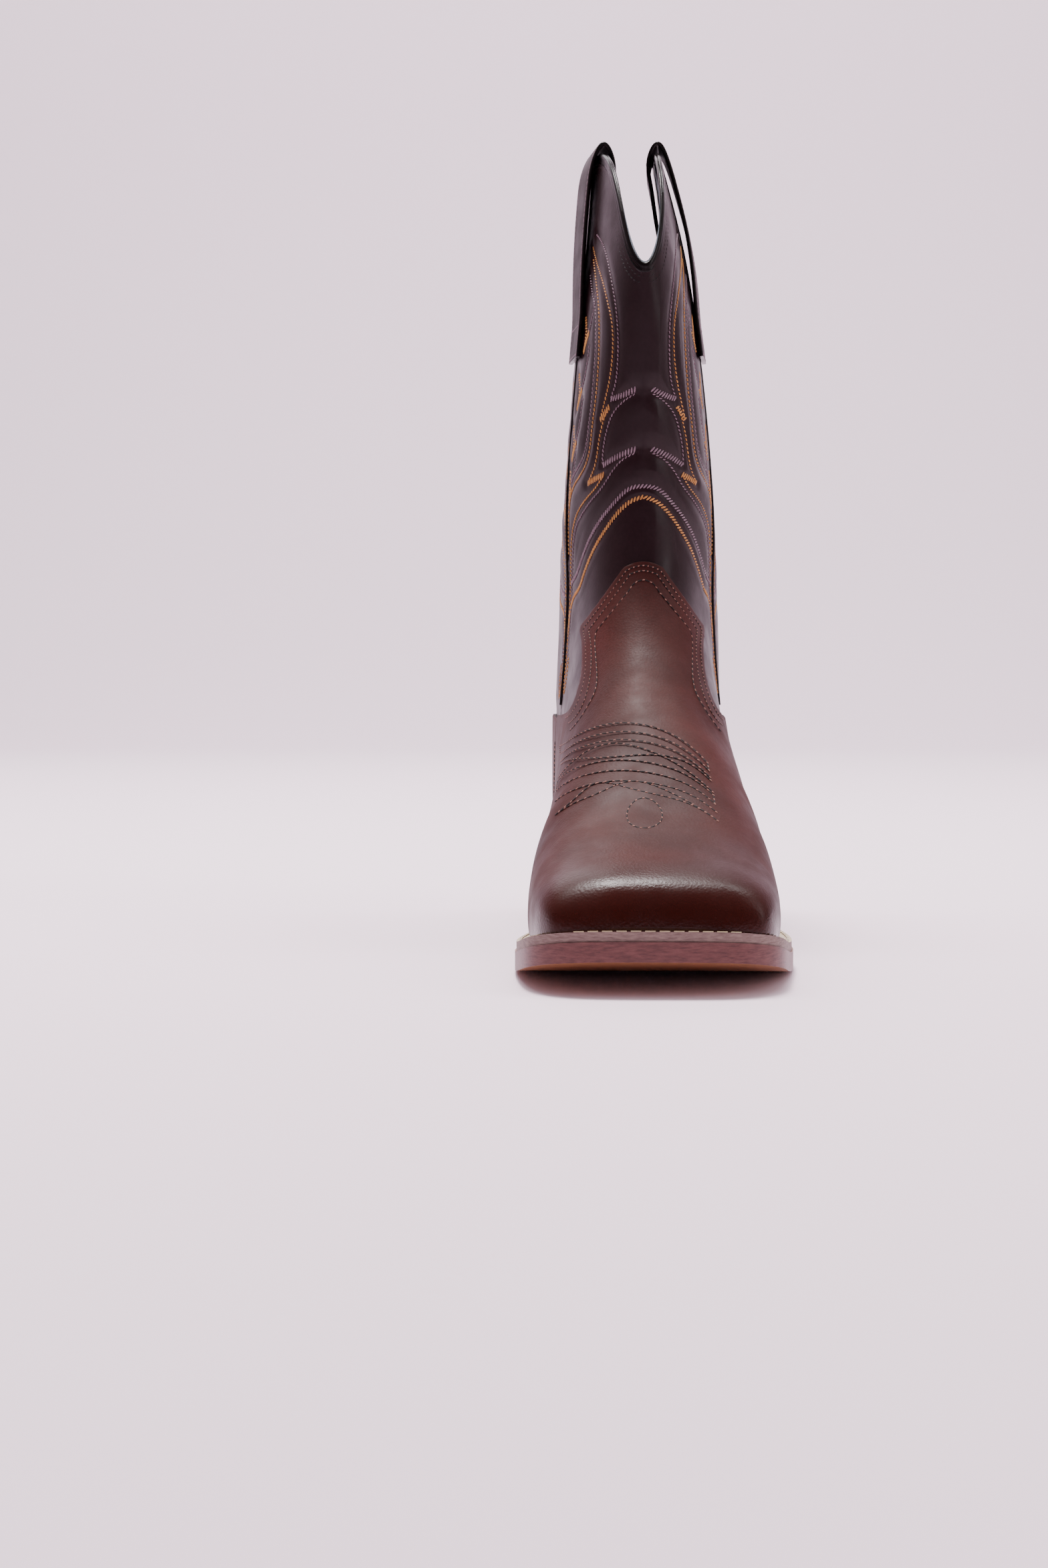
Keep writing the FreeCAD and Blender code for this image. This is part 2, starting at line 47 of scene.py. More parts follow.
import bpy
import bmesh
import numpy as np
from mathutils import Matrix, Vector
from mathutils.bvhtree import BVHTree
from mathutils.kdtree import KDTree

rng = np.random.default_rng(7)
MM = 0.001
SHIFT = np.array([-1.890546, 0.062405, 0.0])     # the CAD's own centring, in mm

# ---------------------------------------------------------------- the boot's form
LEATHER = 1.6
MID_OUT, MID_IN = 1.8, 3.3
LINING_OUT, LINING_IN = 3.5, 4.6
SEAM_Y = 62.0
WELT_THICK = 3.7
TOE_STATIONS = 3.0
STATIONS = [
    ((-146.5, 15.5), (-146.5, 29.5), 30.0, 30.0, 0.50, 2.5, 2.5),
    ((-145.5, 14.5), (-145.0, 35.0), 36.0, 35.5, 0.45, 3.0, 2.6),
    ((-141.0, 13.5), (-140.0, 40.5), 40.5, 39.5, 0.42, 3.5, 2.8),
    ((-130.0, 11.0), (-129.0, 45.5), 44.2, 43.5, 0.38, 3.5, 2.8),
    ((-110.0, 7.0), (-110.0, 51.0), 47.0, 46.0, 0.34, 3.5, 2.7),
    ((-85.0, 5.0), (-88.0, 61.0), 48.6, 47.0, 0.30, 3.5, 2.5),
    ((-58.0, 4.0), (-66.0, 77.0), 48.8, 46.5, 0.27, 3.5, 2.3),
    ((-30.0, 4.0), (-44.0, 94.0), 47.2, 43.5, 0.27, 3.3, 2.15),
    ((5.0, 7.0), (-22.0, 112.0), 44.0, 40.0, 0.27, 3.3, 2.05),
    ((42.0, 14.0), (-5.0, 129.0), 41.0, 38.0, 0.27, 3.2, 2.1),
    ((85.0, 20.0), (5.0, 145.0), 39.8, 38.0, 0.27, 3.0, 2.2),
    ((122.0, 22.0), (10.0, 157.0), 39.8, 39.0, 0.25, 2.6, 2.2),
    ((146.0, 32.0), (12.0, 167.0), 39.8, 39.2, 0.24, 2.2, 2.2),
    ((149.5, 55.0), (12.5, 176.0), 39.8, 39.2, 0.24, 2.0, 2.1),
    ((148.0, 80.0), (12.3, 186.0), 39.2, 38.6, 0.26, 2.0, 2.0),
    ((143.5, 105.0), (11.5, 198.0), 38.2, 37.7, 0.30, 2.0, 2.0),
    ((139.5, 130.0), (10.0, 212.0), 37.0, 36.8, 0.36, 2.0, 1.95),
    ((137.5, 160.0), (7.0, 230.0), 34.8, 35.2, 0.40, 2.0, 1.85),
    ((137.5, 200.0), (2.5, 252.0), 31.8, 32.6, 0.42, 2.0, 1.72),
    ((139.0, 250.0), (-4.0, 285.0), 27.0, 29.4, 0.41, 2.0, 1.55),
    ((140.5, 300.0), (-10.0, 318.0), 19.8, 26.6, 0.37, 2.0, 1.35),
    ((142.0, 356.0), (-15.0, 356.0), 5.0, 24.6, 0.34, 2.0, 1.2),
]
LOWER_POINTS, UPPER_POINTS, STEPS = 8, 9, 2
AROUND = 2 * (LOWER_POINTS + UPPER_POINTS)
TOP = LOWER_POINTS + UPPER_POINTS        # v of the front centre line; 0 is the sole and back
ALONG = (len(STATIONS) - 1) * STEPS + 1
U_END = ALONG - 3
_poles = {}


def poles(inset):
    """Control points of the skin that lies inset inside the form, as the CAD makes them."""
    key = round(inset, 3)
    if key in _poles:
        return _poles[key]
    rows = np.array([[*b, *f, wl, wm, belt, nl, nu] for b, f, wl, wm, belt, nl, nu in STATIONS])
    grid = np.zeros((ALONG, AROUND, 3))
    for r in range(ALONG):
        position = r / STEPS
        i = min(int(position), len(rows) - 2)
        t = position - i
        p, q, s, w = (rows[max(0, min(len(rows) - 1, k))] for k in (i - 1, i, i + 1, i + 2))
        row = 0.5 * (2 * q + (s - p) * t + (2 * p - 5 * q + 4 * s - w) * t ** 2
                     + (3 * q - p - 3 * s + w) * t ** 3)
        by, bz, fy, fz, wide_out, wide_in, belt, nl, nu = row
        forward = inset * max(0.0, 1.0 - position / TOE_STATIONS)
        start, end = np.array([0, by + forward, bz]), np.array([0, fy + forward, fz])
        height = np.linalg.norm(end - start)
        up = (end - start) / height
        lower, upper = belt * height - inset, (1 - belt) * height - inset
        a = np.pi / 2 * np.arange(LOWER_POINTS) / LOWER_POINTS
        b = np.pi / 2 * np.arange(UPPER_POINTS + 1) / UPPER_POINTS
        across = np.concatenate([np.sin(a) ** (2 / nl), np.maximum(np.cos(b), 0) ** (2 / nu)])
        rise = np.concatenate([inset + lower * (1 - np.cos(a) ** (2 / nl)),
                               inset + lower + upper * np.sin(b) ** (2 / nu)])
        x = np.concatenate([(wide_out - inset) * across, -((wide_in - inset) * across)[-2:0:-1]])
        v = np.concatenate([rise, rise[-2:0:-1]])
        grid[r] = start + v[:, None] * up + x[:, None] * np.array([1.0, 0, 0])
    _poles[key] = grid
    return grid


KNOTS = np.concatenate([[0] * 4, np.arange(1, U_END), [U_END] * 4]).astype(float)


def span_weights(u):
    """The first pole and the four cubic weights at each u along the fan."""
    u = np.clip(u, 0, U_END)
    k = np.clip(np.floor(u).astype(int), 0, U_END - 1) + 3
    n = [np.ones_like(u)]
    left, right = {}, {}
    for j in range(1, 4):
        left[j] = u - KNOTS[k + 1 - j]
        right[j] = KNOTS[k + j] - u
        saved = np.zeros_like(u)
        new = []
        for r in range(j):
            temp = n[r] / (right[r + 1] + left[j - r])
            new.append(saved + right[r + 1] * temp)
            saved = left[j - r] * temp
        n = new + [saved]
    return k - 3, np.stack(n, -1)


def skin(u, v, inset=0.0):
    """Points in mm, in the row frame, of the skin at parameters u and v."""
    grid = poles(inset)
    u, v = np.broadcast_arrays(np.asarray(u, float), np.asarray(v, float))
    beyond = np.clip(-u, 0, 1)                   # u from -1 to 0 closes the toe's front
    first, wu = span_weights(u)
    base = np.floor(v).astype(int)
    t = v - base
    wv = np.stack([(1 - t) ** 3, 3 * t ** 3 - 6 * t ** 2 + 4,
                   -3 * t ** 3 + 3 * t ** 2 + 3 * t + 1, t ** 3], -1) / 6
    out = np.zeros(u.shape + (3,))
    for i in range(4):
        for j in range(4):
            out += (wu[..., i] * wv[..., j])[..., None] * grid[first + i, (base - 1 + j) % AROUND]
    if beyond.any():
        middle = np.stack([np.clip(out[..., 0], -17, 17), out[..., 1], np.full(u.shape, 22.5)], -1)
        shut = middle + (out - middle) * (1 - beyond[..., None])
        shut[..., 1] -= 0.7 * (1 - (1 - beyond) ** 2)
        out = np.where(beyond[..., None] > 0, shut, out)
    return out + SHIFT


def skin_normal(u, v, inset=0.0):
    e = 0.02
    du = skin(np.minimum(u + e, U_END), v, inset) - skin(np.maximum(u - e, -1), v, inset)
    dv = skin(u, v + e, inset) - skin(u, v - e, inset)
    n = np.cross(du, dv)
    return n / np.maximum(np.linalg.norm(n, axis=-1, keepdims=True), 1e-9)


# ---------------------------------------------------------------- reading the frame
def node_tree(name):
    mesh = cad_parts[name].data
    return BVHTree.FromPolygons([v.co for v in mesh.vertices],
                                [p.vertices for p in mesh.polygons])


def height_table(name, x=0.0, down=True):
    """Heights in mm of a CAD node's upper or lower side along Y, as two arrays."""
    tree = node_tree(name)
    ys, zs = [], []
    for y in np.arange(-151.5, 151.6, 0.5):
        origin = Vector((x, y * MM, 1.0 if down else -1.0))
        hit = tree.ray_cast(origin, Vector((0, 0, -1.0 if down else 1.0)))
        if hit[0] is not None:
            ys.append(y)
            zs.append(hit[0].z / MM)
    return np.array(ys), np.array(zs)


SOLE_TOP = height_table("outsole")
SOLE_LOW = height_table("outsole", down=False)


def sole_top(y):
    return np.interp(y, *SOLE_TOP)


def sole_low(y):
    return np.interp(y, *SOLE_LOW)




# ---------------------------------------------------------------- mesh tools
def new_object(name, verts, faces, materials, smooth=40, index=None, body="boot"):
    """A piece from points in mm; faces may mix triangles, quads and polygons."""
    mesh = bpy.data.meshes.new(name)
    mesh.from_pydata((np.asarray(verts) * MM).tolist(), [], [list(map(int, f)) for f in faces])
    for m in materials if isinstance(materials, (list, tuple)) else [materials]:
        mesh.materials.append(m)
    if index is not None:
        mesh.polygons.foreach_set("material_index", np.asarray(index, dtype=np.int32))
    mesh.polygons.foreach_set("use_smooth", [True] * len(mesh.polygons))
    if smooth:
        mesh.set_sharp_from_angle(angle=math.radians(smooth))
    mesh.update()
    ob = bpy.data.objects.new(name, mesh)
    bpy.context.scene.collection.objects.link(ob)
    if body:
        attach(ob, body)
    return ob


def dot_attribute(ob, name, values):
    """A number at each point for the material to read."""
    attribute = ob.data.attributes.new(name, "FLOAT", "POINT")
    attribute.data.foreach_set("value", np.asarray(values, dtype=np.float32))


class Patch:
    """A piece of the skin as a net of faces in (u, v), which can be cut along any outline."""

    def __init__(self, u, v, inset):
        self.inset = inset
        nu, nv = len(u), len(v)
        uu, vv = np.meshgrid(u, v, indexing="ij")
        self.uv = np.stack([uu.ravel(), vv.ravel()], -1)
        k = np.arange(nu * nv).reshape(nu, nv)
        quads = np.stack([k[:-1, :-1], k[:-1, 1:], k[1:, 1:], k[1:, :-1]], -1).reshape(-1, 4)
        self.faces = [tuple(q) for q in quads.tolist()]

    def points(self, inset=None):
        return skin(self.uv[:, 0], self.uv[:, 1], self.inset if inset is None else inset)

    def cut(self, keep):
        """Keeps where keep(points) > 0; faces on the outline are trimmed to it."""
        g = keep(self.points())
        edges = set()
        for f in self.faces:
            signs = [g[i] > 0 for i in f]
            if all(signs) or not any(signs):
                continue
            for a, b in zip(f, f[1:] + f[:1]):
                if (g[a] > 0) != (g[b] > 0):
                    edges.add((a, b) if g[a] > 0 else (b, a))
        if edges:
            e = np.array(sorted(edges))
            lo, hi = np.zeros(len(e)), np.ones(len(e))
            for _ in range(14):
                t = (lo + hi) / 2
                uv = self.uv[e[:, 0]] * (1 - t[:, None]) + self.uv[e[:, 1]] * t[:, None]
                inside = keep(skin(uv[:, 0], uv[:, 1], self.inset)) > 0
                lo, hi = np.where(inside, t, lo), np.where(inside, hi, t)
            t = lo
            cross = self.uv[e[:, 0]] * (1 - t[:, None]) + self.uv[e[:, 1]] * t[:, None]
            for k in np.argsort(np.minimum(t, 1 - t)):
                a, b = e[k]
                if t[k] < 0.3 and g[a] > 0:
                    self.uv[a] = cross[k]
                    g[a] = 0.0
                elif t[k] > 0.7 and g[b] < 0:
                    self.uv[b] = cross[k]
                    g[b] = 0.0
            new = {}
            extra = []
            for k, (a, b) in enumerate(e):
                if g[a] > 0 and g[b] < 0:
                    new[(a, b)] = new[(b, a)] = len(self.uv) + len(extra)
                    extra.append(cross[k])
            if extra:
                self.uv = np.concatenate([self.uv, np.array(extra)])
                g = np.concatenate([g, np.zeros(len(extra))])
        else:
            new = {}
        faces = []
        for f in self.faces:
            values = [g[i] for i in f]
            if max(values) <= 0:
                continue
            if min(values) >= 0:
                faces.append(f)
                continue
            out = []
            for a, b in zip(f, f[1:] + f[:1]):
                if g[a] >= 0:
                    out.append(a)
                if (a, b) in new:
                    out.append(new[(a, b)])
            if len(out) > 2:
                faces.append(tuple(out))
        self.faces = faces
        self._tidy()
        return self

    def _tidy(self):
        used = sorted({i for f in self.faces for i in f})
        index = {old: k for k, old in enumerate(used)}
        self.uv = self.uv[used]
        self.faces = [tuple(index[i] for i in f) for f in self.faces]

    def weld(self, period=AROUND):
        """Joins the net's two sides where v has gone all the way round."""
        keys = {}
        index = []
        for k, (u, v) in enumerate(self.uv):
            key = (round(float(u), 5), round(float(v) % period, 5))
            index.append(keys.setdefault(key, k))
        self.faces = [tuple(index[i] for i in f) for f in self.faces]
        self._tidy()
        return self

    def rim(self):
        """Directed edges on the outline."""
        seen = {}
        for f in self.faces:
            for a, b in zip(f, f[1:] + f[:1]):
                seen[(a, b)] = True
        return [(a, b) for a, b in seen if (b, a) not in seen]

    def shell(self, name, thick, materials, bulge=None, soften=0.35, smooth=42):
        """A leather piece: its face at the patch's inset, its back thick deeper, and cut edges."""
        face = self.points()
        back = self.points(self.inset + thick)
        n = skin_normal(self.uv[:, 0], self.uv[:, 1], self.inset)
        if bulge is not None:
            face = face + n * bulge[:, None]
        rim = self.rim()
        edge = np.zeros(len(face), bool)
        edge[[a for a, b in rim]] = True
        edge[[b for a, b in rim]] = True
        face[edge] -= n[edge] * soften
        count = len(face)
        faces = list(self.faces) + [tuple(i + count for i in reversed(f)) for f in self.faces]
        index = [0] * len(faces)
        faces += [(b, a, a + count, b + count) for a, b in rim]
        index += [1] * len(rim)
        if len(materials) > 2:
            index[len(self.faces):2 * len(self.faces)] = [2] * len(self.faces)
        ob = new_object(name, np.concatenate([face, back]), faces, materials, smooth, index)
        return ob


def inside_outline(points, closed_low=-20.0):
    """A test in (x, z) against half an outline that runs from the middle outwards: > 0 inside."""
    pts = np.array(points, float)

    def test(p):
        x, z = np.abs(p[:, 0] - SHIFT[0]), p[:, 2]
        return polygon_side(np.stack([x, z], -1), np.concatenate([pts, [[95, -60], [-40, -60], [-40, pts[0, 1]]]]))
    return test


def polygon_side(q, poly):
    """Signed distance of points to a closed polygon, positive inside."""
    best = np.full(len(q), 1e9)
    inside = np.zeros(len(q), bool)
    for a, b in zip(poly, np.roll(poly, -1, axis=0)):
        d = b - a
        t = np.clip(((q - a) @ d) / max(d @ d, 1e-12), 0, 1)
        best = np.minimum(best, np.linalg.norm(q - (a + t[:, None] * d), axis=1))
        if a[1] != b[1]:
            cross = ((a[1] > q[:, 1]) != (b[1] > q[:, 1])) & (
                q[:, 0] < (b[0] - a[0]) * (q[:, 1] - a[1]) / (b[1] - a[1]) + a[0])
            inside ^= cross
    return np.where(inside, best, -best)


def spline(points, n=200, closed=False):
    """Points along a smooth curve through the given ones, evenly spaced."""
    p = np.array(points, float)
    if closed:
        p = np.concatenate([p[-3:], p, p[:3]])
    d = np.concatenate([[0], np.cumsum(np.linalg.norm(np.diff(p, axis=0), axis=1) ** 0.5)])
    h = np.diff(d)
    m = len(p)
    a, r = np.zeros((m, m)), np.zeros((m, p.shape[1]))
    a[0, 0] = a[-1, -1] = 1
    for i in range(1, m - 1):
        a[i, i - 1], a[i, i], a[i, i + 1] = h[i - 1], 2 * (h[i - 1] + h[i]), h[i]
        r[i] = 6 * ((p[i + 1] - p[i]) / h[i] - (p[i] - p[i - 1]) / h[i - 1])
    c = np.linalg.solve(a, r)
    lo, hi = (d[3], d[m - 3]) if closed else (d[0], d[-1])
    t = np.linspace(lo, hi, max(n * 4, 400))
    k = np.clip(np.searchsorted(d, t, side="right") - 1, 0, m - 2)
    u, v, hh = d[k + 1] - t, t - d[k], h[k]
    out = ((c[k] * u[:, None] ** 3 + c[k + 1] * v[:, None] ** 3) / (6 * hh[:, None])
           + (p[k] / hh[:, None] - c[k] * hh[:, None] / 6) * u[:, None]
           + (p[k + 1] / hh[:, None] - c[k + 1] * hh[:, None] / 6) * v[:, None])
    return even(out, n)


def even(p, n):
    """The same line with n evenly spaced points."""
    d = np.concatenate([[0], np.cumsum(np.linalg.norm(np.diff(p, axis=0), axis=1))])
    t = np.linspace(0, d[-1], n)
    return np.stack([np.interp(t, d, p[:, k]) for k in range(p.shape[1])], -1)


def line_length(p):
    return float(np.linalg.norm(np.diff(p, axis=0), axis=1).sum())


def pieces_of_line(*runs):
    """Smooth runs joined at sharp corners."""
    out = []
    for run in runs:
        q = spline(run, max(8, int(line_length(np.array(run, float)) * 2))) if len(run) > 2 else \
            even(np.array(run, float), max(4, int(line_length(np.array(run, float)) * 2)))
        out.append(q if not out else q[1:])
    return np.concatenate(out)


# ---------------------------------------------------------------- where things lie on the skin
class Chart:
    """Turns (a, z) on one face of the shaft into the skin's (u, v).

    a is the distance round from the middle of the front or the back, positive outwards, and
    z the height."""

    def __init__(self, front, side, inset, u_low=13.0):
        self.front, self.side, self.inset = front, side, inset
        self.u = np.linspace(u_low, U_END, 220)
        self.t = np.linspace(0, TOP, 340)
        v = self.t if side > 0 else AROUND - self.t
        uu, vv = np.meshgrid(self.u, v, indexing="ij")
        p = skin(uu, vv, inset)
        step = np.linalg.norm(np.diff(p, axis=1), axis=-1)
        run = np.concatenate([np.zeros((len(p), 1)), np.cumsum(step, axis=1)], axis=1)
        self.a = run[:, -1:] - run if front else run
        self.z = p[..., 2]
        self.y = p[..., 1]

    def at(self, a, z):
        a, z = np.atleast_1d(np.asarray(a, float)), np.atleast_1d(np.asarray(z, float))
        tt, zz = [], []
        for row_a, row_z in zip(self.a, self.z):
            if self.front:
                t = np.interp(a, row_a[::-1], self.t[::-1])
            else:
                t = np.interp(a, row_a, self.t)
            tt.append(t)
            zz.append(np.interp(t, self.t, row_z))
        tt, zz = np.array(tt), np.array(zz)
        u, t = np.empty(len(a)), np.empty(len(a))
        for k in range(len(a)):
            order = np.argsort(zz[:, k])
            u[k] = np.interp(z[k], zz[order, k], self.u[order])
            t[k] = np.interp(u[k], self.u, tt[:, k])
        return u, (t if self.side > 0 else AROUND - t)

    def seam(self, z):
        """How far round the side seam is at these heights."""
        z = np.atleast_1d(np.asarray(z, float))
        out = []
        for row_a, row_z, row_y in zip(self.a, self.z, self.y):
            order = np.argsort(row_y)
            out.append((np.interp(SEAM_Y, row_y[order], row_z[order]),
                        np.interp(SEAM_Y, row_y[order], row_a[order])))
        out = np.array(sorted(out))
        return np.interp(z, out[:, 0], out[:, 1])


_bvh = {}


def skin_tree(inset):
    key = round(inset, 2)
    if key not in _bvh:
        uu, vv = np.meshgrid(np.linspace(0, U_END, 420), np.linspace(0, AROUND, 420), indexing="ij")
        p = skin(uu, vv, inset).reshape(-1, 3)
        k = np.arange(p.shape[0]).reshape(420, 420)
        q = np.stack([k[:-1, :-1], k[:-1, 1:], k[1:, 1:], k[1:, :-1]], -1).reshape(-1, 4)
        _bvh[key] = BVHTree.FromPolygons(p.tolist(), q.tolist())
    return _bvh[key]


def from_front(x, z, inset, side_y):
    """Points and normals of the skin seen from the front (side_y -1) or back at (x, z)."""
    out, normals = [], []
    for xx, zz in zip(np.atleast_1d(x), np.atleast_1d(z)):
        hit = skin_tree(inset).ray_cast(Vector((xx + SHIFT[0], 400 * side_y, zz)), Vector((0, -side_y, 0)))
        if hit[0] is not None:
            n = hit[1] if hit[1].y * side_y > 0 else -hit[1]
            out.append(hit[0][:])
            normals.append(n[:])
    return np.array(out), np.array(normals)


# ---------------------------------------------------------------- stitches
def bead(sides=6, rings=4):
    """A short rounded rod of length 1 and radius 0.5 about X, as a template."""
    verts, faces = [], []
    for r in range(rings):
        x = -0.5 + r / (rings - 1)
        radius = 0.5 * (0.55 if r in (0, rings - 1) else 1.0)
        for s in range(sides):
            a = 2 * math.pi * s / sides
            verts.append((x, radius * math.cos(a), radius * math.sin(a)))
    for r in range(rings - 1):
        for s in range(sides):
            t = (s + 1) % sides
            faces.append((r * sides + s, (r + 1) * sides + s, (r + 1) * sides + t, r * sides + t))
    faces.append(tuple(range(sides)))
    faces.append(tuple(reversed(range((rings - 1) * sides, rings * sides))))
    return np.array(verts), faces


BEAD = bead()


class Thread:
    """Gathers the stitches of one colour and makes them one piece."""

    def __init__(self):
        self.verts, self.faces = [], []

    def add(self, centre, normal, along, length, width, height):
        x = along / np.linalg.norm(along)
        z = normal - x * (normal @ x)
        z /= np.linalg.norm(z)
        y = np.cross(z, x)
        local = BEAD[0] * np.array([length, width, height])
        start = len(self.verts) * len(BEAD[0])
        self.verts.append(centre + local @ np.stack([x, y, z]))
        self.faces += [tuple(i + start for i in f) for f in BEAD[1]]

    def sew(self, points, normals, pitch, length, width, slant=0.0, lift=0.05, height=None, jitter=0.04,
            phase=0.5):
        """A row of stitches along a line on the skin."""
        d = np.concatenate([[0], np.cumsum(np.linalg.norm(np.diff(points, axis=0), axis=1))])
        count = max(1, int(round(d[-1] / pitch)))
        where = (np.arange(count) + phase) * d[-1] / count
        p = np.stack([np.interp(where, d, points[:, k]) for k in range(3)], -1)
        q = np.stack([np.interp(where + 0.3, d, points[:, k]) for k in range(3)], -1)
        r = np.stack([np.interp(where - 0.3, d, points[:, k]) for k in range(3)], -1)
        n = np.stack([np.interp(where, d, normals[:, k]) for k in range(3)], -1)
        n /= np.linalg.norm(n, axis=1, keepdims=True)
        c, s = math.cos(math.radians(slant)), math.sin(math.radians(slant))
        for k in range(count):
            along = q[k] - r[k]
            along -= n[k] * (along @ n[k])
            along /= max(np.linalg.norm(along), 1e-9)
            across = np.cross(n[k], along)
            way = along * c + across * s + rng.normal(0, jitter, 3)
            self.add(p[k] + n[k] * lift, n[k], way, length * (1 + rng.normal(0, jitter)), width,
                     height or width * 0.8)

    def make(self, name, material, slot):
        ob = new_object(name, np.concatenate(self.verts), self.faces, material, smooth=60)
        return ob


def on_skin(u, v, inset):
    return skin(u, v, inset), skin_normal(u, v, inset)


# ---------------------------------------------------------------- materials
def rgb(r, g, b):
    """A colour given as it looks on screen, 0 to 255."""
    return tuple((c / 255) ** 2.2 for c in (r, g, b)) + (1.0,)


class Paint:
    """Short words for the nodes of one material."""

    def __init__(self, name):
        self.m = bpy.data.materials.new(name)
        self.m.use_nodes = True
        self.t = self.m.node_tree
        self.shader = self.t.nodes["Principled BSDF"]
        self.place = self.node("ShaderNodeTexCoord").outputs["Object"]

    def node(self, kind, **values):
        n = self.t.nodes.new(kind)
        for k, v in values.items():
            setattr(n, k, v)
        return n

    def link(self, a, b):
        self.t.links.new(a, b)

    def noise(self, scale, detail=3.0, rough=0.55, stretch=None):
        n = self.node("ShaderNodeTexNoise")
        n.inputs["Scale"].default_value = scale
        n.inputs["Detail"].default_value = detail
        n.inputs["Roughness"].default_value = rough
        self.link(self.stretch(stretch) if stretch else self.place, n.inputs["Vector"])
        return n.outputs["Fac"]

    def stretch(self, by):
        n = self.node("ShaderNodeMapping")
        n.inputs["Scale"].default_value = by
        self.link(self.place, n.inputs["Vector"])
        return n.outputs["Vector"]

    def cells(self, scale, feature="SMOOTH_F1", stretch=None):
        n = self.node("ShaderNodeTexVoronoi", feature=feature)
        n.inputs["Scale"].default_value = scale
        self.link(self.stretch(stretch) if stretch else self.place, n.inputs["Vector"])
        return n.outputs["Distance"]

    def waves(self, scale, axis="Z", distort=1.0, profile="SIN"):
        n = self.node("ShaderNodeTexWave", bands_direction=axis, wave_profile=profile)
        n.inputs["Scale"].default_value = scale
        n.inputs["Distortion"].default_value = distort
        self.link(self.place, n.inputs["Vector"])
        return n.outputs["Fac"]

    def ramp(self, value, low, high, from_low=0.35, from_high=0.65):
        n = self.node("ShaderNodeMapRange")
        n.inputs["From Min"].default_value = from_low
        n.inputs["From Max"].default_value = from_high
        n.inputs["To Min"].default_value = low
        n.inputs["To Max"].default_value = high
        self.link(value, n.inputs["Value"])
        return n.outputs["Result"]

    def mix(self, value, a, b):
        n = self.node("ShaderNodeMix", data_type="RGBA")
        for socket, c in ((n.inputs[6], a), (n.inputs[7], b)):
            if isinstance(c, tuple):
                socket.default_value = c
            else:
                self.link(c, socket)
        self.link(value, n.inputs[0])
        return n.outputs[2]

    def attribute(self, name):
        n = self.node("ShaderNodeAttribute", attribute_name=name)
        return n.outputs["Fac"]

    def add(self, a, b, scale_b=1.0):
        n = self.node("ShaderNodeMath", operation="MULTIPLY_ADD")
        self.link(b, n.inputs[0])
        n.inputs[1].default_value = scale_b
        self.link(a, n.inputs[2])
        return n.outputs[0]

    def bump(self, height, strength, distance):
        n = self.node("ShaderNodeBump")
        n.inputs["Strength"].default_value = strength
        n.inputs["Distance"].default_value = distance
        self.link(height, n.inputs["Height"])
        self.link(n.outputs["Normal"], self.shader.inputs["Normal"])

    def finish(self, colour=None, rough=None, **sockets):
        if colour is not None:
            if isinstance(colour, tuple):
                self.shader.inputs["Base Color"].default_value = colour
            else:
                self.link(colour, self.shader.inputs["Base Color"])
        if rough is not None:
            if isinstance(rough, float):
                self.shader.inputs["Roughness"].default_value = rough
            else:
                self.link(rough, self.shader.inputs["Roughness"])
        for k, v in sockets.items():
            self.shader.inputs[k.replace("_", " ")].default_value = v
        return self.m


def leather(name, light, deep, rough, grain, depth, wear=None, mottled=22.0, coat=0.0):
    """Finished leather: pebbled grain in mm, mottled dye, and a darker or lighter worn colour."""
    p = Paint(name)
    colour = p.mix(p.ramp(p.noise(mottled, 4.0), 0.0, 1.0), light, deep)
    fine = p.cells(1000.0 / grain)
    pores = p.noise(2600.0 / grain, 2.0)
    colour = p.mix(p.ramp(fine, 0.0, 0.28, 0.25, 0.6), colour, deep)
    if wear is not None:
        colour = p.mix(p.attribute("wear"), colour, wear)
    p.bump(p.add(fine, pores, 0.35), depth, 0.0002)
    roughness = p.ramp(p.noise(70.0, 3.0), rough - 0.05, rough + 0.08)
    if wear is not None:
        roughness = p.add(roughness, p.attribute("wear"), -0.34)
    return p.finish(colour, roughness, Coat_Weight=coat, Coat_Roughness=0.25, Specular_IOR_Level=0.15)


def plain_leather(name, light, deep, rough, scale=160.0, depth=0.25, stretch=None):
    p = Paint(name)
    colour = p.mix(p.ramp(p.noise(scale, 5.0, 0.6, stretch), 0.0, 1.0), light, deep)
    p.bump(p.noise(scale * 6, 3.0, 0.6, stretch), depth, 0.0002)
    return p.finish(colour, rough, Specular_IOR_Level=0.3)


def thread(name, light, deep):
    p = Paint(name)
    strands = p.waves(1400.0, "DIAGONAL", 3.0)
    colour = p.mix(p.ramp(strands, 0.0, 1.0, 0.2, 0.8), light, deep)
    colour = p.mix(p.ramp(p.noise(300.0, 2.0), 0.0, 0.5), colour, deep)
    p.bump(strands, 0.35, 0.0001)
    return p.finish(colour, 0.6, Specular_IOR_Level=0.25)


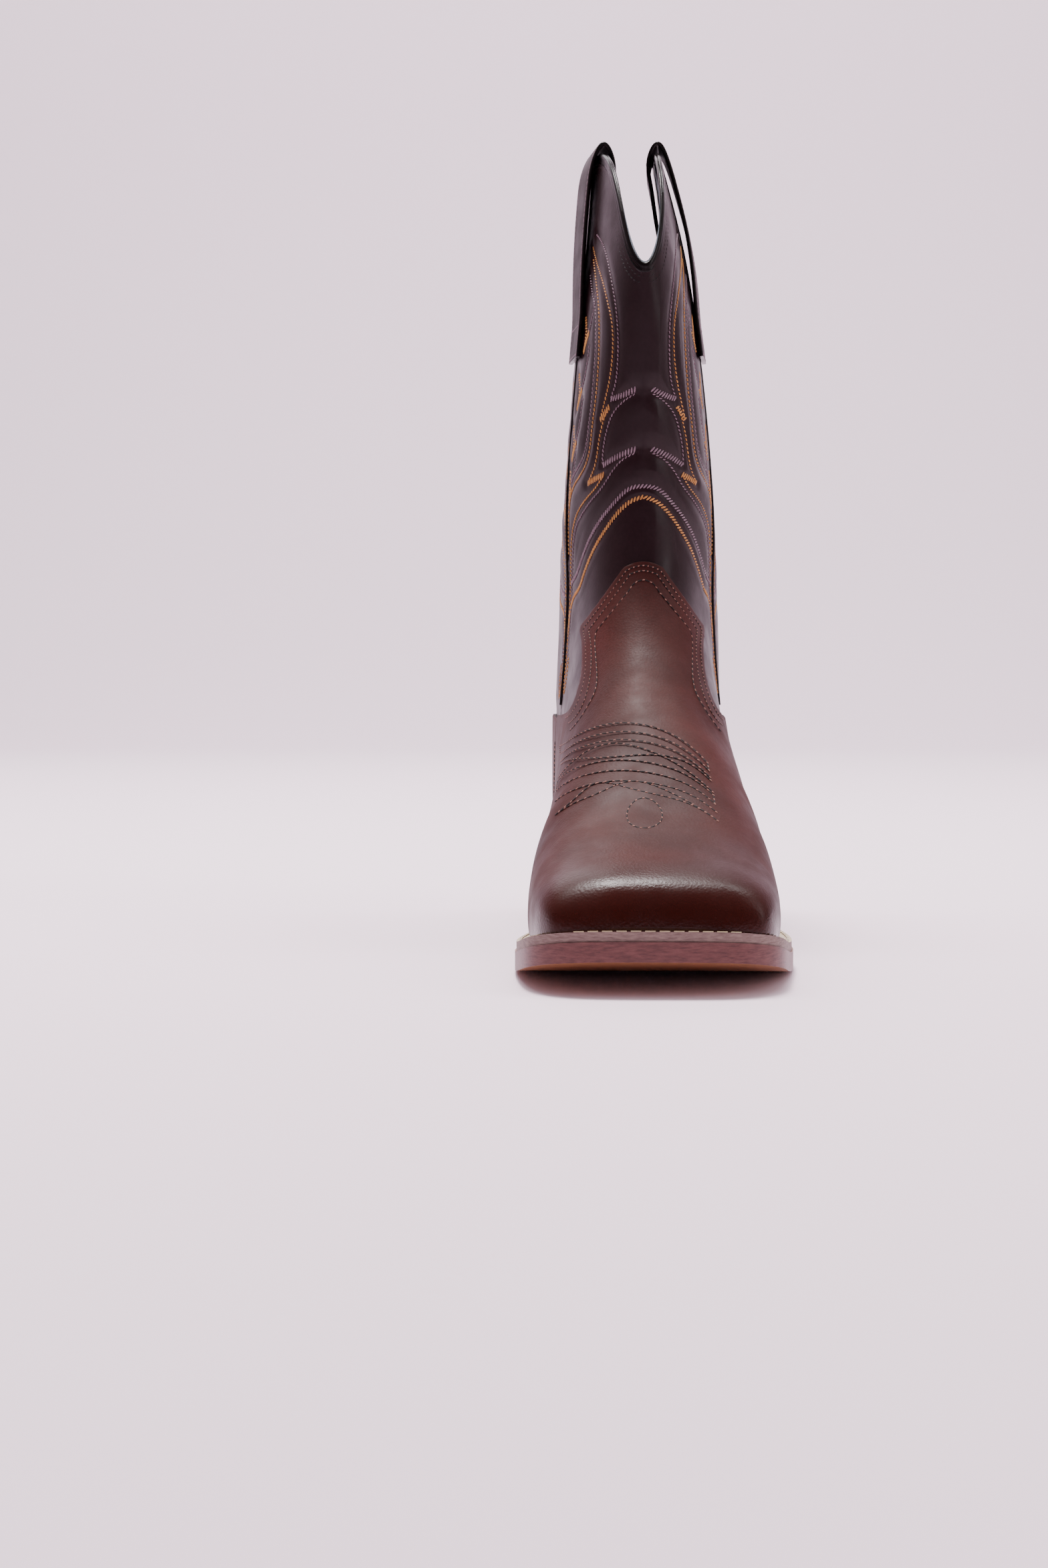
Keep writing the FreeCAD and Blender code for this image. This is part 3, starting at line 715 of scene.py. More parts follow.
BROWN = leather("brown_leather_face", rgb(70, 35, 31), rgb(52, 24, 21), 0.55, 0.9, 0.34,
                wear=rgb(46, 18, 13))
BROWN_EDGE = plain_leather("brown_leather_edge", rgb(44, 24, 20), rgb(28, 14, 12), 0.6)
DARK = leather("shaft_leather_face", rgb(38, 24, 27), rgb(29, 17, 20), 0.36, 1.2, 0.10,
               wear=rgb(50, 35, 38), mottled=9.0)
DARK_EDGE = plain_leather("shaft_leather_edge", rgb(30, 20, 21), rgb(18, 12, 13), 0.6)
BINDING = leather("binding_leather_face", rgb(22, 14, 15), rgb(14, 9, 10), 0.26, 0.8, 0.08, mottled=40.0)
LINING = plain_leather("lining_leather_face", rgb(112, 120, 128), rgb(98, 106, 114), 0.85, 60.0, 0.15)
STRAP = leather("strap_leather_face", rgb(36, 24, 27), rgb(26, 16, 19), 0.5, 1.0, 0.15)
GOLD = thread("gold_thread", rgb(214, 156, 92), rgb(150, 96, 50))
MAUVE = thread("mauve_thread", rgb(158, 134, 144), rgb(98, 78, 88))
# Dark brown thread, its colour darkened further as painted shade of the stitch holes it sits in.
DARK_THREAD_AND_SHADE = thread("brown_thread_and_painted_shade", rgb(26, 11, 9), rgb(14, 6, 5))
# Painted highlight: the light colour of the short beads where each stitch catches the light.
STITCH_HIGHLIGHT_PAINT = thread("painted_stitch_highlight", rgb(166, 122, 110), rgb(116, 80, 70))
BLACK_THREAD = thread("black_thread", rgb(34, 24, 26), rgb(14, 9, 10))
WELT_THREAD = thread("welt_thread_face", rgb(222, 210, 190), rgb(170, 156, 136))


# ---------------------------------------------------------------- vamp and counter
TONGUE = pieces_of_line([(0, 160), (4, 159.4), (8.5, 157.5)],
                        [(8.5, 157.5), (16, 147), (26, 134)],
                        [(26, 134), (27, 131.5), (26.5, 128), (26, 118), (27.5, 107), (31, 98.5),
                         (36, 94.5), (44, 97)],
                        [(44, 97), (70, 110)])
TAB = pieces_of_line([(0, 120.3), (8, 120), (14, 119)],
                     [(14, 119), (16.5, 111), (21.5, 102), (28, 94.5), (34, 92), (44, 97)],
                     [(44, 97), (70, 110)])
SEAM_LINE = np.array([(24, -5), (30, 20), (47, 50), (62, 84), (62, 400)], float) + [SHIFT[1], 0]


def front_of_seam(p, margin=0.0):
    return np.interp(p[:, 2], SEAM_LINE[:, 1], SEAM_LINE[:, 0]) + margin - p[:, 1]


def above_welt(p):
    return p[:, 2] - (sole_top(p[:, 1]) + WELT_THICK + 0.1)


def wrinkles(p):
    """Soft creases over the ball and the ankle, in mm."""
    x, y, z = p[:, 0], p[:, 1], p[:, 2]
    out = np.zeros(len(p))
    creases = [(-38, 0.55, 9, 0.10), (-52, 0.4, 7, -0.08), (-24, 0.35, 7, 0.05), (-66, 0.25, 6, 0.12)]
    for y0, depth, wide, lean in creases:
        line = y0 + lean * x + 2.5 * np.sin(x / 11 + y0)
        out -= depth * np.exp(-((y - line) / wide) ** 2) * np.clip((z - 20) / 30, 0, 1)
    out += 0.18 * np.sin(x / 5.1 + y / 13) * np.sin(y / 6.3 - z / 9) * np.clip((z - 60) / 40, 0, 1)
    return out


def row_on_front(line, side_y, inset, signs=(1, -1)):
    """A line given from the front or back as (x, z), put on the skin for each side."""
    out = []
    for sign in signs:
        p, n = from_front(line[:, 0] * sign, line[:, 1], inset, side_y)
        out.append((p, n))
    return out


def moved_in(line, by):
    """A line in the plane moved sideways, towards its left."""
    d = np.gradient(line, axis=0)
    n = np.stack([d[:, 1], -d[:, 0]], -1)
    n /= np.maximum(np.linalg.norm(n, axis=1, keepdims=True), 1e-9)
    return line - n * by


def build_vamp():
    patch = Patch(np.concatenate([np.linspace(-1, 0, 8)[:-1], np.linspace(0, 27.5, 290)]),
                  np.linspace(0, AROUND, 246), 0.0)
    patch.weld()
    patch.cut(above_welt)
    patch.cut(front_of_seam)
    test = inside_outline(TONGUE)
    patch.cut(test)
    p = patch.points()
    bulge = wrinkles(p)
    ob = patch.shell("vamp_skin", LEATHER, [BROWN, BROWN_EDGE], bulge)
    q = np.concatenate([p, p])
    toe = np.exp(-((q[:, 1] + 150) / 22) ** 2) * 0.75
    low = np.exp(-(above_welt(q) / 7) ** 2) * 0.6
    dot_attribute(ob, "wear", np.clip(toe + low, 0, 0.9))
    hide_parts("vamp")
    return ob


def build_counter():
    patch = Patch(np.linspace(8, 33.5, 300), np.linspace(0, AROUND, 246), 0.0)
    patch.weld()
    patch.cut(above_welt)
    patch.cut(lambda p: -front_of_seam(p, 0.25))
    patch.cut(inside_outline(TAB))
    p = patch.points()
    ob = patch.shell("counter_skin", LEATHER, [BROWN, BROWN_EDGE], wrinkles(p) * 0.3)
    q = np.concatenate([p, p])
    low = np.exp(-(above_welt(q) / 9) ** 2) * 0.7
    dot_attribute(ob, "wear", np.clip(low, 0, 0.9))
    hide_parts("counter")
    return ob


build_vamp()
build_counter()


# ---------------------------------------------------------------- stitch lines of the shaft
RIM = spline([(-40, 274), (-14, 274), (-7, 274.5), (-2, 279), (4, 291), (11, 305), (19, 317), (29, 327),
              (44, 335), (62, 337.5), (80, 335), (96, 325), (108, 315), (118, 303), (127, 289),
              (134, 277), (140, 272.5), (147, 272), (170, 272)], 600) + [SHIFT[1], 0]
CHARTS = {(front, side): Chart(front, side, MID_OUT) for front in (True, False) for side in (1, -1)}

MAUVE_LINES = [
    [[(0, 191.5), (6, 190.6), (12.5, 186.5), (20, 181.5), (31, 174.5), (42, 166.5), (52, 158.5), (58, 155),
      (66, 152.5)]],
    [[(54, 302), (40, 295), (29, 285), (22, 275), (17.5, 266), (15, 257), (14, 249), (14, 241), (15, 234),
      (18, 228.2)],
     [(18, 228.2), (10, 229.3), (3.4, 231.5)]],
    [[(3.6, 229.6), (10, 226.5), (16, 222), (19.5, 216.5), (21.5, 211), (22.5, 206), (22.5, 201)],
     [(22.5, 201), (13, 204), (3.2, 207)]],
    [[(3.6, 205.3), (10, 202.5), (16.5, 197.5), (23, 192), (32, 187.5), (44, 182), (54, 176.5), (60, 169),
      (63, 160), (64.5, 150), (65, 140), (65.3, 122), (65.5, 106)]],
    [[(60, 286), (50, 276), (42, 268), (38.5, 259), (36.5, 250), (36, 240), (36.5, 228), (38.5, 217),
      (40.5, 210), (46, 204.5), (56, 200.5), (64, 197)]],
]
GOLD_LINES = [
    [[(0, 187), (5, 185.5), (13, 180.2), (21.5, 173.5), (31, 166.5), (40.5, 158.5), (47.5, 152)],
     [(47.5, 152), (51, 149.5), (58, 147), (64, 143), (67, 137), (68.5, 130)]],
    [[(60, 298), (48, 289), (35, 279), (26, 269), (20.5, 260.5), (18.3, 252), (18.3, 243), (19.8, 235),
      (22.3, 228.3), (26, 220)],
     [(26, 220), (18.5, 225.3)]],
    [[(18.5, 225.3), (21.5, 222), (24.5, 216.5), (26.3, 211), (27.5, 206), (30, 200.5), (37, 194.3)],
     [(37, 194.3), (21.5, 197.2)]],
    [[(21.5, 197.2), (29, 192), (42, 186.8), (54, 181), (61, 174.5), (65, 166), (67, 155), (68, 140),
      (68.5, 120), (68, 108), (66, 104), (63.5, 108), (62.5, 120)]],
    [[(56, 292), (46, 281), (38, 270), (34, 260), (32, 250), (31.3, 240), (32, 228), (34, 217),
      (35.5, 208.5), (40.5, 202), (50, 197.5), (60, 193.5), (66, 188), (68.5, 180), (69.5, 165)]],
]
HOOKS = [(256, 46), (232, 50), (210, 54), (190, 60)]


def back_drop(z):
    """The back panel's pattern sits a little lower than the front's."""
    return np.interp(z, [100, 190, 207, 231, 262], [-2, -8, -6.5, -3, 0])


def shaft_lines():
    """Every stitched line on the shaft as (colour, kind, points, normals)."""
    out = []
    for (front, side), chart in CHARTS.items():
        def place(colour, kind, run, limit=0.955):
            line = even(np.array(run, float), max(6, int(line_length(np.array(run, float)) / 1.2)))
            a, z = line[:, 0].copy(), line[:, 1].copy()
            if not front:
                z = z + back_drop(z)
            a *= chart.seam(z) / 72.5
            a = np.minimum(a, limit * chart.seam(z))
            u, v = chart.at(a, z)
            p, n = on_skin(u, v, MID_OUT)
            low = 88 if front else 82
            room = np.interp(p[:, 1], RIM[:, 0], RIM[:, 1]) - 9.0 - p[:, 2]
            keep = (room > 0) & (p[:, 2] > low)
            if keep.sum() > 4:
                out.append((colour, kind, p[keep], n[keep]))
        for colour, group in (("mauve", MAUVE_LINES), ("gold", GOLD_LINES)):
            for number, runs in enumerate(group):
                for k, run in enumerate(runs):
                    kind = "arch" if number == 0 else ("stroke" if k else "line")
                    place(colour, kind, spline(run, 160) if len(run) > 2 else run)
        for z, a in HOOKS:
            place("gold", "stroke", spline([(a + 14, z + 12), (a + 9, z + 3), (a + 12, z - 4)], 40), 0.93)
            place("gold", "stroke", [(a + 12, z - 4), (a + 4, z + 4)], 0.93)
            place("mauve", "line", spline([(a + 4, z + 4), (a - 1, z + 12), (a - 3, z + 22)], 40), 0.9)
    return out


SHAFT_LINES = shaft_lines()
STITCHED = KDTree(sum(len(p) for _, _, p, _ in SHAFT_LINES))
for k, q in enumerate(np.concatenate([p for _, _, p, _ in SHAFT_LINES])):
    STITCHED.insert(q, k)
STITCHED.balance()


def quilting(points, puff, reach):
    """How far the padded leather rises between the stitched lines, in mm."""
    far = np.array([STITCHED.find(q)[2] for q in points])
    return puff * (1 - np.exp(-(far / reach) ** 2)), far


def sew_shaft():
    threads = {"gold": Thread(), "mauve": Thread()}
    for colour, kind, p, n in SHAFT_LINES:
        wide = {"arch": 0.8, "stroke": 0.85, "line": 0.6}[kind] * (1.0 if colour == "gold" else 0.92)
        long = {"arch": 2.3, "stroke": 2.6, "line": 1.35}[kind]
        slant = {"arch": 48, "stroke": 64, "line": 24}[kind]
        pitch = {"arch": 1.55, "stroke": 1.45, "line": 1.8}[kind]
        threads[colour].sew(p, n, pitch, long, wide, slant, lift=0.12, height=0.62)
    threads["gold"].make("shaft_stitching_gold", GOLD, "welt_thread")
    threads["mauve"].make("shaft_stitching_mauve", MAUVE, "welt_thread")


# ---------------------------------------------------------------- shaft, binding and piping
def below_rim(p, lift=0.0):
    return np.interp(p[:, 1], RIM[:, 0], RIM[:, 1]) + lift - p[:, 2]


def shaft_foot(p):
    y = p[:, 1] - SHIFT[1]
    return p[:, 2] - np.interp(y, [-60, -10, 10, 34, 62, 150], [118, 106, 90, 84, 82, 82])


def shaft_folds(p):
    """The soft hollows and swells of a shaft that stands by itself, in mm."""
    x, y, z = p[:, 0], p[:, 1], p[:, 2]
    ridge = 0.9 * np.exp(-np.abs(x - SHIFT[0] - 5 - 0.01 * (z - 200)) / 6) * (y < 20) * np.clip((290 - z) / 30, 0, 1)
    slow = 0.5 * np.sin(z / 31 + 0.6) * np.sin(y / 27 + x / 23) + 0.35 * np.sin(z / 17 + x / 19) * np.cos(y / 15)
    slow = slow * np.clip((z - 95) / 60, 0, 1) * np.clip((270 - z) / 60, 0.25, 1)
    return slow + ridge * np.clip((z - 150) / 25, 0, 1)


def build_shaft(front):
    name = "shaft_front" if front else "shaft_back"
    v = np.linspace(6.0, 28.0, 310) if front else np.linspace(-12.0, 12.0, 350)
    patch = Patch(np.linspace(14.5, U_END, 290), v, MID_OUT)
    patch.cut(shaft_foot)
    patch.cut(below_rim)
    sign = 1 if front else -1
    patch.cut(lambda p: sign * (SEAM_Y + SHIFT[1] - p[:, 1]) - 1.0)
    p = patch.points()
    puff, far = quilting(p, 0.5, 2.6)
    seam = np.exp(-((p[:, 1] - SEAM_Y - SHIFT[1]) / 5) ** 2)
    hidden = np.clip((p[:, 2] - (118 if front else 96)) / 6, 0, 1)
    bulge = (puff + shaft_folds(p) * (1 - seam) * np.clip((far - 1) / 6, 0, 1)) * hidden
    ob = patch.shell(name + "_skin", 1.5, [DARK, DARK_EDGE], bulge)
    worn = np.clip(0.55 - far / 9, 0, 1) * 0.25
    dot_attribute(ob, "wear", np.concatenate([worn, worn]))
    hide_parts(name + "_panel")
    return patch


def ordered_rim(patch):
    """The top edge of a cut patch as a list of (u, v)."""
    p = patch.points()
    near = np.abs(below_rim(p)) < 0.02
    follow = {a: b for a, b in patch.rim() if near[a] and near[b]}
    starts = set(follow) - set(follow.values())
    k = next(iter(starts)) if starts else next(iter(follow))
    chain = [k]
    while chain[-1] in follow and follow[chain[-1]] != k:
        chain.append(follow[chain[-1]])
    return patch.uv[chain]


def build_binding(patch, front):
    """Two rolled cords of leather side by side over the cut edge."""
    uv = even(ordered_rim(patch), 420)
    outer, inner = skin(uv[:, 0], uv[:, 1], 1.1), skin(uv[:, 0], uv[:, 1], 5.0)
    n = skin_normal(uv[:, 0], uv[:, 1], 3.0)
    along = np.gradient(outer, axis=0)
    up = np.cross(n, along)
    up /= np.linalg.norm(up, axis=1, keepdims=True)
    up *= np.sign(np.median(up[:, 2]))
    section = [(0.16, -3.5), (0.04, -3.3), (-0.04, -2.5), (0.02, -1.75), (-0.05, -1.0), (-0.03, 0.35), (0.10, 1.05), (0.26, 1.28), (0.42, 1.05),
               (0.50, 0.72), (0.58, 1.0), (0.74, 1.2), (0.92, 0.85), (1.03, 0.1), (1.03, -0.8), (1.0, -1.7),
               (0.5, -1.5)]
    rings = [outer * (1 - s) + inner * s + up * h for s, h in section]
    verts = np.stack(rings, 1).reshape(-1, 3)
    m, count = len(section), len(uv)
    faces = []
    for k in range(count - 1):
        for j in range(m):
            i = (j + 1) % m
            faces.append((k * m + j, (k + 1) * m + j, (k + 1) * m + i, k * m + i))
    faces.append(tuple(reversed(range(m))))
    faces.append(tuple(range((count - 1) * m, count * m)))
    name = "top_binding_front" if front else "top_binding_back"
    ob = new_object(name + "_roll", verts, faces, BINDING, smooth=70)
    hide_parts(name)
    rows = Thread()
    for drop, inset in ((4.8, MID_OUT - 0.45), (7.2, MID_OUT - 0.45)):
        p = skin(uv[:, 0], uv[:, 1], inset) - up * drop
        rows.sew(p, n, 2.1, 1.35, 0.5, slant=18, lift=0.0, height=0.45)
    rows.make(name + "_stitching", BLACK_THREAD, "welt_thread")


for front in (True, False):
    build_binding(build_shaft(front), front)
sew_shaft()


# ---------------------------------------------------------------- stitching on the foot
TOE_ROWS = (1.0, 0.87, 0.75, 0.45, 0.3, 0.15)


def on_pattern(s, h):
    """(u, v) on the vamp: s runs across from -1 to 1, h up from the lowest row at 0 to the top one at 1."""
    inner, middle, outer = 9.0 + 2.8 * h, 10.05 + 3.3 * h, 10.8 + 6.8 * h
    u = middle + (outer - inner) / 4 * (s + s ** 3) + ((outer + inner) / 2 - middle) * s ** 2
    v_inner, v_outer = 14.4, 22.0 + 1.8 * h
    return np.stack([u, (v_inner + v_outer) / 2 + (v_outer - v_inner) / 2 * s], -1)


def toe_pattern():
    """Nested rows across the vamp, a braid between them, two crossing rows and a drop below."""
    s = np.linspace(-1, 1, 80)
    lines = [on_pattern(s, h + 0 * s) for h in TOE_ROWS]
    lines += [on_pattern(s, 0.6 + sign * 0.1 * np.cos(math.pi * s)) for sign in (1, -1)]
    lines += [on_pattern(s, 0.17 * np.exp(-((s + sign * 0.22) / 0.35) ** 2) - 0.02) for sign in (1, -1)]
    for end in (-1, 1):
        for low, high in ((0.87, 1.0), (0.3, 0.45)):
            lines.append(on_pattern(end + np.zeros(8), np.linspace(low, high, 8)))
    turn = np.linspace(0, 2 * math.pi, 60)
    lines.append(np.stack([8.85 + 0.8 * np.cos(turn), 17.25 + 0.58 * np.sin(turn)], -1))
    return lines


INNER_ROW = [[(0, 152), (3.5, 150.8), (6.5, 147)], [(6.5, 147), (19.5, 131)],
             [(19.5, 131), (20.3, 127.5), (19.8, 116), (20.2, 107), (23, 100.5), (27, 94), (31, 89)]]


class Seams:
    """Running stitch in dark thread, darkened further as painted shade of the stitch holes, with short light beads
    as painted highlights where each stitch catches the light.
    """

    def __init__(self):
        self.dark, self.painted_highlight_beads = Thread(), Thread()

    def row(self, p, n, pitch=2.9, width=0.55):
        if len(p) < 3:
            return
        far = np.linalg.norm(np.diff(p, axis=0), axis=1)
        parts = np.split(np.arange(len(p)), np.where(far > 4)[0] + 1)
        for k in parts:
            if len(k) > 2:
                # Dark dashes: the thread's own dark brown plus painted shade of its holes.
                self.dark.sew(p[k], n[k], pitch, pitch * 0.72, width, lift=0.02, height=0.4)
                # Short light beads at each stitch's end: painted highlights, not a thread colour.
                self.painted_highlight_beads.sew(p[k], n[k], pitch, pitch * 0.34, width * 0.9, slant=14, lift=0.06,
                               height=0.42, phase=0.02)

    def make(self, name):
        self.dark.make(name + "_thread", DARK_THREAD_AND_SHADE, "welt_thread")
        self.painted_highlight_beads.make(name + "_painted_highlights", STITCH_HIGHLIGHT_PAINT, "welt_thread")


def side_hit(y, z, inset, side):
    """The skin's point and normal seen from one side at (y, z)."""
    hit = skin_tree(inset).ray_cast(Vector((300.0 * side, y, z)), Vector((-side, 0, 0)))
    return hit[0], (hit[1] if hit[1].x * side > 0 else -hit[1])


def front_rows(seams, line, side_y, distances, pitch, keep=None):
    for by in distances:
        for p, n in row_on_front(moved_in(line, -by), side_y, 0.0):
            if keep is not None and len(p):
                m = keep(p)
                p, n = p[m], n[m]
            seams.row(p, n, pitch)


def sew_foot():
    vamp = Seams()
    ahead = lambda p: front_of_seam(p) > 5.5
    front_rows(vamp, TONGUE, -1, (1.9, 4.1), 2.1, ahead)
    front_rows(vamp, pieces_of_line(*INNER_ROW), -1, (0.0,), 3.2, ahead)
    for uv in toe_pattern():
        p, n = on_skin(uv[:, 0], uv[:, 1], 0.0)
        q = even(p, max(3, int(line_length(p) / 0.8)))
        k = np.linspace(0, len(p) - 1, len(q))
        m = np.stack([np.interp(k, np.arange(len(p)), n[:, j]) for j in range(3)], -1)
        vamp.row(q, m, 3.1)
    vamp.make("vamp_stitching")
    counter = Seams()
    behind = lambda p: front_of_seam(p) < -3.0
    front_rows(counter, TAB, 1, (1.9, 4.1), 2.1, behind)
    front_rows(counter, TAB, 1, (7.5,), 3.2, lambda p: (front_of_seam(p) < -20) & (p[:, 2] > 100))
    for side in (1, -1):
        for back in (2.2, 4.4):
            p, n = [], []
            for z in np.arange(33, 84 - back * 0.5, 0.8):
                y = np.interp(z, SEAM_LINE[:, 1], SEAM_LINE[:, 0]) + back
                hit = side_hit(y, z, 0.0, side)
                p.append(hit[0][:])
                n.append(hit[1][:])
            counter.row(np.array(p), np.array(n), 2.1)
    p, n = from_front(np.zeros(20), np.linspace(32, 45, 20), 0.0, 1)
    counter.row(p, n, 2.4)
    counter.make("counter_stitching")


# ---------------------------------------------------------------- pull straps and side piping
STRAP_WIDTH, STRAP_THICK = 26.0, 1.8
STRAP_FOOT_Z, STRAP_PIVOT_Z, STRAP_TOP_Z, EAR_Z = 250.6, 268.0, 342.1, 337.5


def strap_path(side, y):
    """One edge of a strap in the plane y, from the outer tab's foot over the ear to the inner's."""
    outer = lambda z: abs(side_hit(y, z, 0.7, side)[0].x - SHIFT[0]) + 1.2
    inner = lambda z: abs(side_hit(y, z, 4.6, side)[0].x - SHIFT[0]) - 2.5
    middle = (STRAP_PIVOT_Z + STRAP_TOP_Z) / 2
    out = [(outer(z), z) for z in (STRAP_FOOT_Z, 259, STRAP_PIVOT_Z)]
    out += [(outer(283) + 1.0, 283), (outer(middle) + 2.0, middle), (outer(EAR_Z - 14) + 1.9, EAR_Z - 14)]
    tip_out, tip_in = outer(EAR_Z - 6) - 0.6, inner(EAR_Z - 6) - 0.3
    out += [(tip_out + 0.9, EAR_Z - 2), ((tip_out + tip_in) / 2, STRAP_TOP_Z), (tip_in - 0.6, EAR_Z - 2)]
    out += [(inner(EAR_Z - 14) - 1.9, EAR_Z - 14), (inner(middle) - 3.4, middle), (inner(283) - 1.8, 283)]
    out += [(inner(z), z) for z in (STRAP_PIVOT_Z, 259, STRAP_FOOT_Z)]
    return spline([(side * x + SHIFT[0], z) for x, z in out], 300)


def build_strap(side):
    word = "lateral" if side > 0 else "medial"
    y0, y1 = SEAM_Y - STRAP_WIDTH / 2 + SHIFT[1], SEAM_Y + STRAP_WIDTH / 2 + SHIFT[1]
    front, back = strap_path(side, y0), strap_path(side, y1)
    a = np.stack([front[:, 0], np.full(300, y0), front[:, 1]], -1)
    b = np.stack([back[:, 0], np.full(300, y1), back[:, 1]], -1)
    along = np.gradient((a + b) / 2, axis=0)
    n = np.cross(along, b - a)
    n /= np.linalg.norm(n, axis=1, keepdims=True)
    if n[10, 0] * side < 0:
        n = -n
    h = STRAP_THICK / 2
    across = [-1.0, -0.985, -0.94, -0.86, -0.6, -0.3, 0, 0.3, 0.6, 0.86, 0.94, 0.985, 1.0]
    raise_ = [0.25, 0.7, 0.95, 0.84, 1.0, 1.04, 1.06, 1.04, 1.0, 0.84, 0.95, 0.7, 0.25]
    section = [(w, h * r) for w, r in zip(across, raise_)] + [(w, -h * min(r, 0.95)) for w, r in
                                                             zip(across[::-1], raise_[::-1])]
    rings = [a + (b - a) * (w + 1) / 2 + n * t for w, t in section]
    verts = np.stack(rings, 1).reshape(-1, 3)
    m = len(section)
    faces, index = [], []
    for k in range(299):
        for j in range(m):
            i = (j + 1) % m
            faces.append((k * m + j, k * m + i, (k + 1) * m + i, (k + 1) * m + j))
            edge = j in (0, 11, 12, 13, 24, 25)
            index.append(1 if edge else 0)
    faces += [tuple(range(m))[::-1], tuple(range(299 * m, 300 * m))]
    index += [1, 1]
    ob = new_object("pull_strap_%s_leather" % word, verts, faces, [STRAP, BINDING], 50, index, body=None)
    sewn = Thread()
    for w in (-0.84, 0.84):
        line = a + (b - a) * (w + 1) / 2 + n * (h * 0.86)
        sewn.sew(line, n, 2.3, 1.7, 0.5, lift=0.0, height=0.35)
    for row, turn in ((slice(2, 22), 1), (slice(278, 298), 1)):
        for k in (row.start, row.stop):
            p = a[k] + (b[k] - a[k]) * np.linspace(0.08, 0.92, 24)[:, None] + n[k] * h
            sewn.sew(p, np.repeat(n[k:k + 1], 24, 0), 2.0, 1.5, 0.5, lift=0.02, height=0.35)
    stitches = new_object("pull_strap_%s_stitching" % word, np.concatenate(sewn.verts), sewn.faces,
                          MAUVE, 60, body=None)
    for piece in (ob, stitches):
        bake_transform(piece)
    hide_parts("pull_strap_" + word, "strap_tabs_" + word)


def build_piping(side):
    """The rolled cord in a side seam."""
    word = "lateral" if side > 0 else "medial"
    z = np.arange(98.7, 335.6, 1.2)
    y = SEAM_Y + SHIFT[1]
    hits = [side_hit(y, h, 1.7, side) for h in z]
    p = np.array([h[0][:] for h in hits])
    n = np.array([h[1][:] for h in hits])
    across = np.array([0, 1.0, 0])
    sides = 10
    rings = [p + n * 0.95 * math.sin(2 * math.pi * k / sides) + across * 1.0 * math.cos(2 * math.pi * k / sides)
             for k in range(sides)]
    verts = np.stack(rings, 1).reshape(-1, 3)
    faces = [(k * sides + j, k * sides + (j + 1) % sides, (k + 1) * sides + (j + 1) % sides, (k + 1) * sides + j)
             for k in range(len(z) - 1) for j in range(sides)]
    faces += [tuple(range(sides))[::-1], tuple(range((len(z) - 1) * sides, len(z) * sides))]
    ob = new_object("side_piping_%s_cord" % word, verts, faces, BINDING, 70)
    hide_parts("side_piping_" + word)


sew_foot()
for side in (1, -1):
    build_strap(side)
    build_piping(side)


# ---------------------------------------------------------------- finishes of the CAD's own pieces
def sole_finish(name, edge, edge_deep, face, rough=0.42):
    """One colour on the trimmed edges and another on the upper and lower faces."""
    p = Paint(name)
    tilt = p.node("ShaderNodeSeparateXYZ")
    p.link(p.node("ShaderNodeNewGeometry").outputs["Normal"], tilt.inputs[0])
    flat = p.node("ShaderNodeMath", operation="ABSOLUTE")
    p.link(tilt.outputs["Z"], flat.inputs[0])
    lines = p.noise(260.0, 4.0, 0.65, (1, 1, 5))
    side = p.mix(p.ramp(lines, 0.0, 1.0), edge, edge_deep)
    colour = p.mix(p.ramp(flat.outputs[0], 0.0, 1.0, 0.45, 0.75), side, face)
    p.bump(p.noise(900.0, 3.0, 0.6, (1, 1, 4)), 0.22, 0.0002)
    return p.finish(colour, rough, Specular_IOR_Level=0.3)


def stacked(name, light, deep):
    """Pressed leather layers: fine level lines with grain between them."""
    p = Paint(name)
    layers = p.waves(310.0, "Z", 0.35, "SAW")
    colour = p.mix(p.ramp(layers, 0.0, 0.9, 0.55, 1.0), light, deep)
    colour = p.mix(p.ramp(p.noise(180.0, 5.0, 0.65, (1, 1, 7)), 0.0, 0.7), colour, deep)
    p.bump(p.add(layers, p.noise(700.0, 2.0, 0.5, (1, 1, 6)), 0.6), 0.35, 0.0002)
    return p.finish(colour, 0.45)


def simple(name, colour, rough, metallic=0.0):
    p = Paint(name)
    p.bump(p.noise(1500.0), 0.12, 0.0001)
    return p.finish(colour, rough, Metallic=metallic)


OUTSOLE = sole_finish("outsole_leather_edge", rgb(102, 63, 61), rgb(76, 45, 44), rgb(128, 86, 60))
WELT = sole_finish("welt_leather_face", rgb(128, 108, 102), rgb(96, 78, 74), rgb(190, 174, 152), 0.6)
RAND = sole_finish("rand_leather_face", rgb(158, 132, 108), rgb(128, 100, 82), rgb(176, 152, 124), 0.6)
STACK = stacked("heel_stack_face", rgb(92, 56, 50), rgb(62, 36, 32))
CAP = simple("heel_rubber_face", rgb(40, 37, 39), 0.7)
BOARD = simple("stiffener_board_face", rgb(196, 178, 150), 0.85)
INSOLE = plain_leather("insole_leather_face", rgb(190, 158, 122), rgb(168, 134, 100), 0.7)
SOCK = plain_leather("sock_leather_face", rgb(128, 112, 104), rgb(104, 90, 84), 0.6)
CORK = plain_leather("cork_face", rgb(176, 132, 88), rgb(120, 84, 52), 0.9, 400.0)
STEEL = simple("steel_face", rgb(178, 180, 184), 0.3, 1.0)
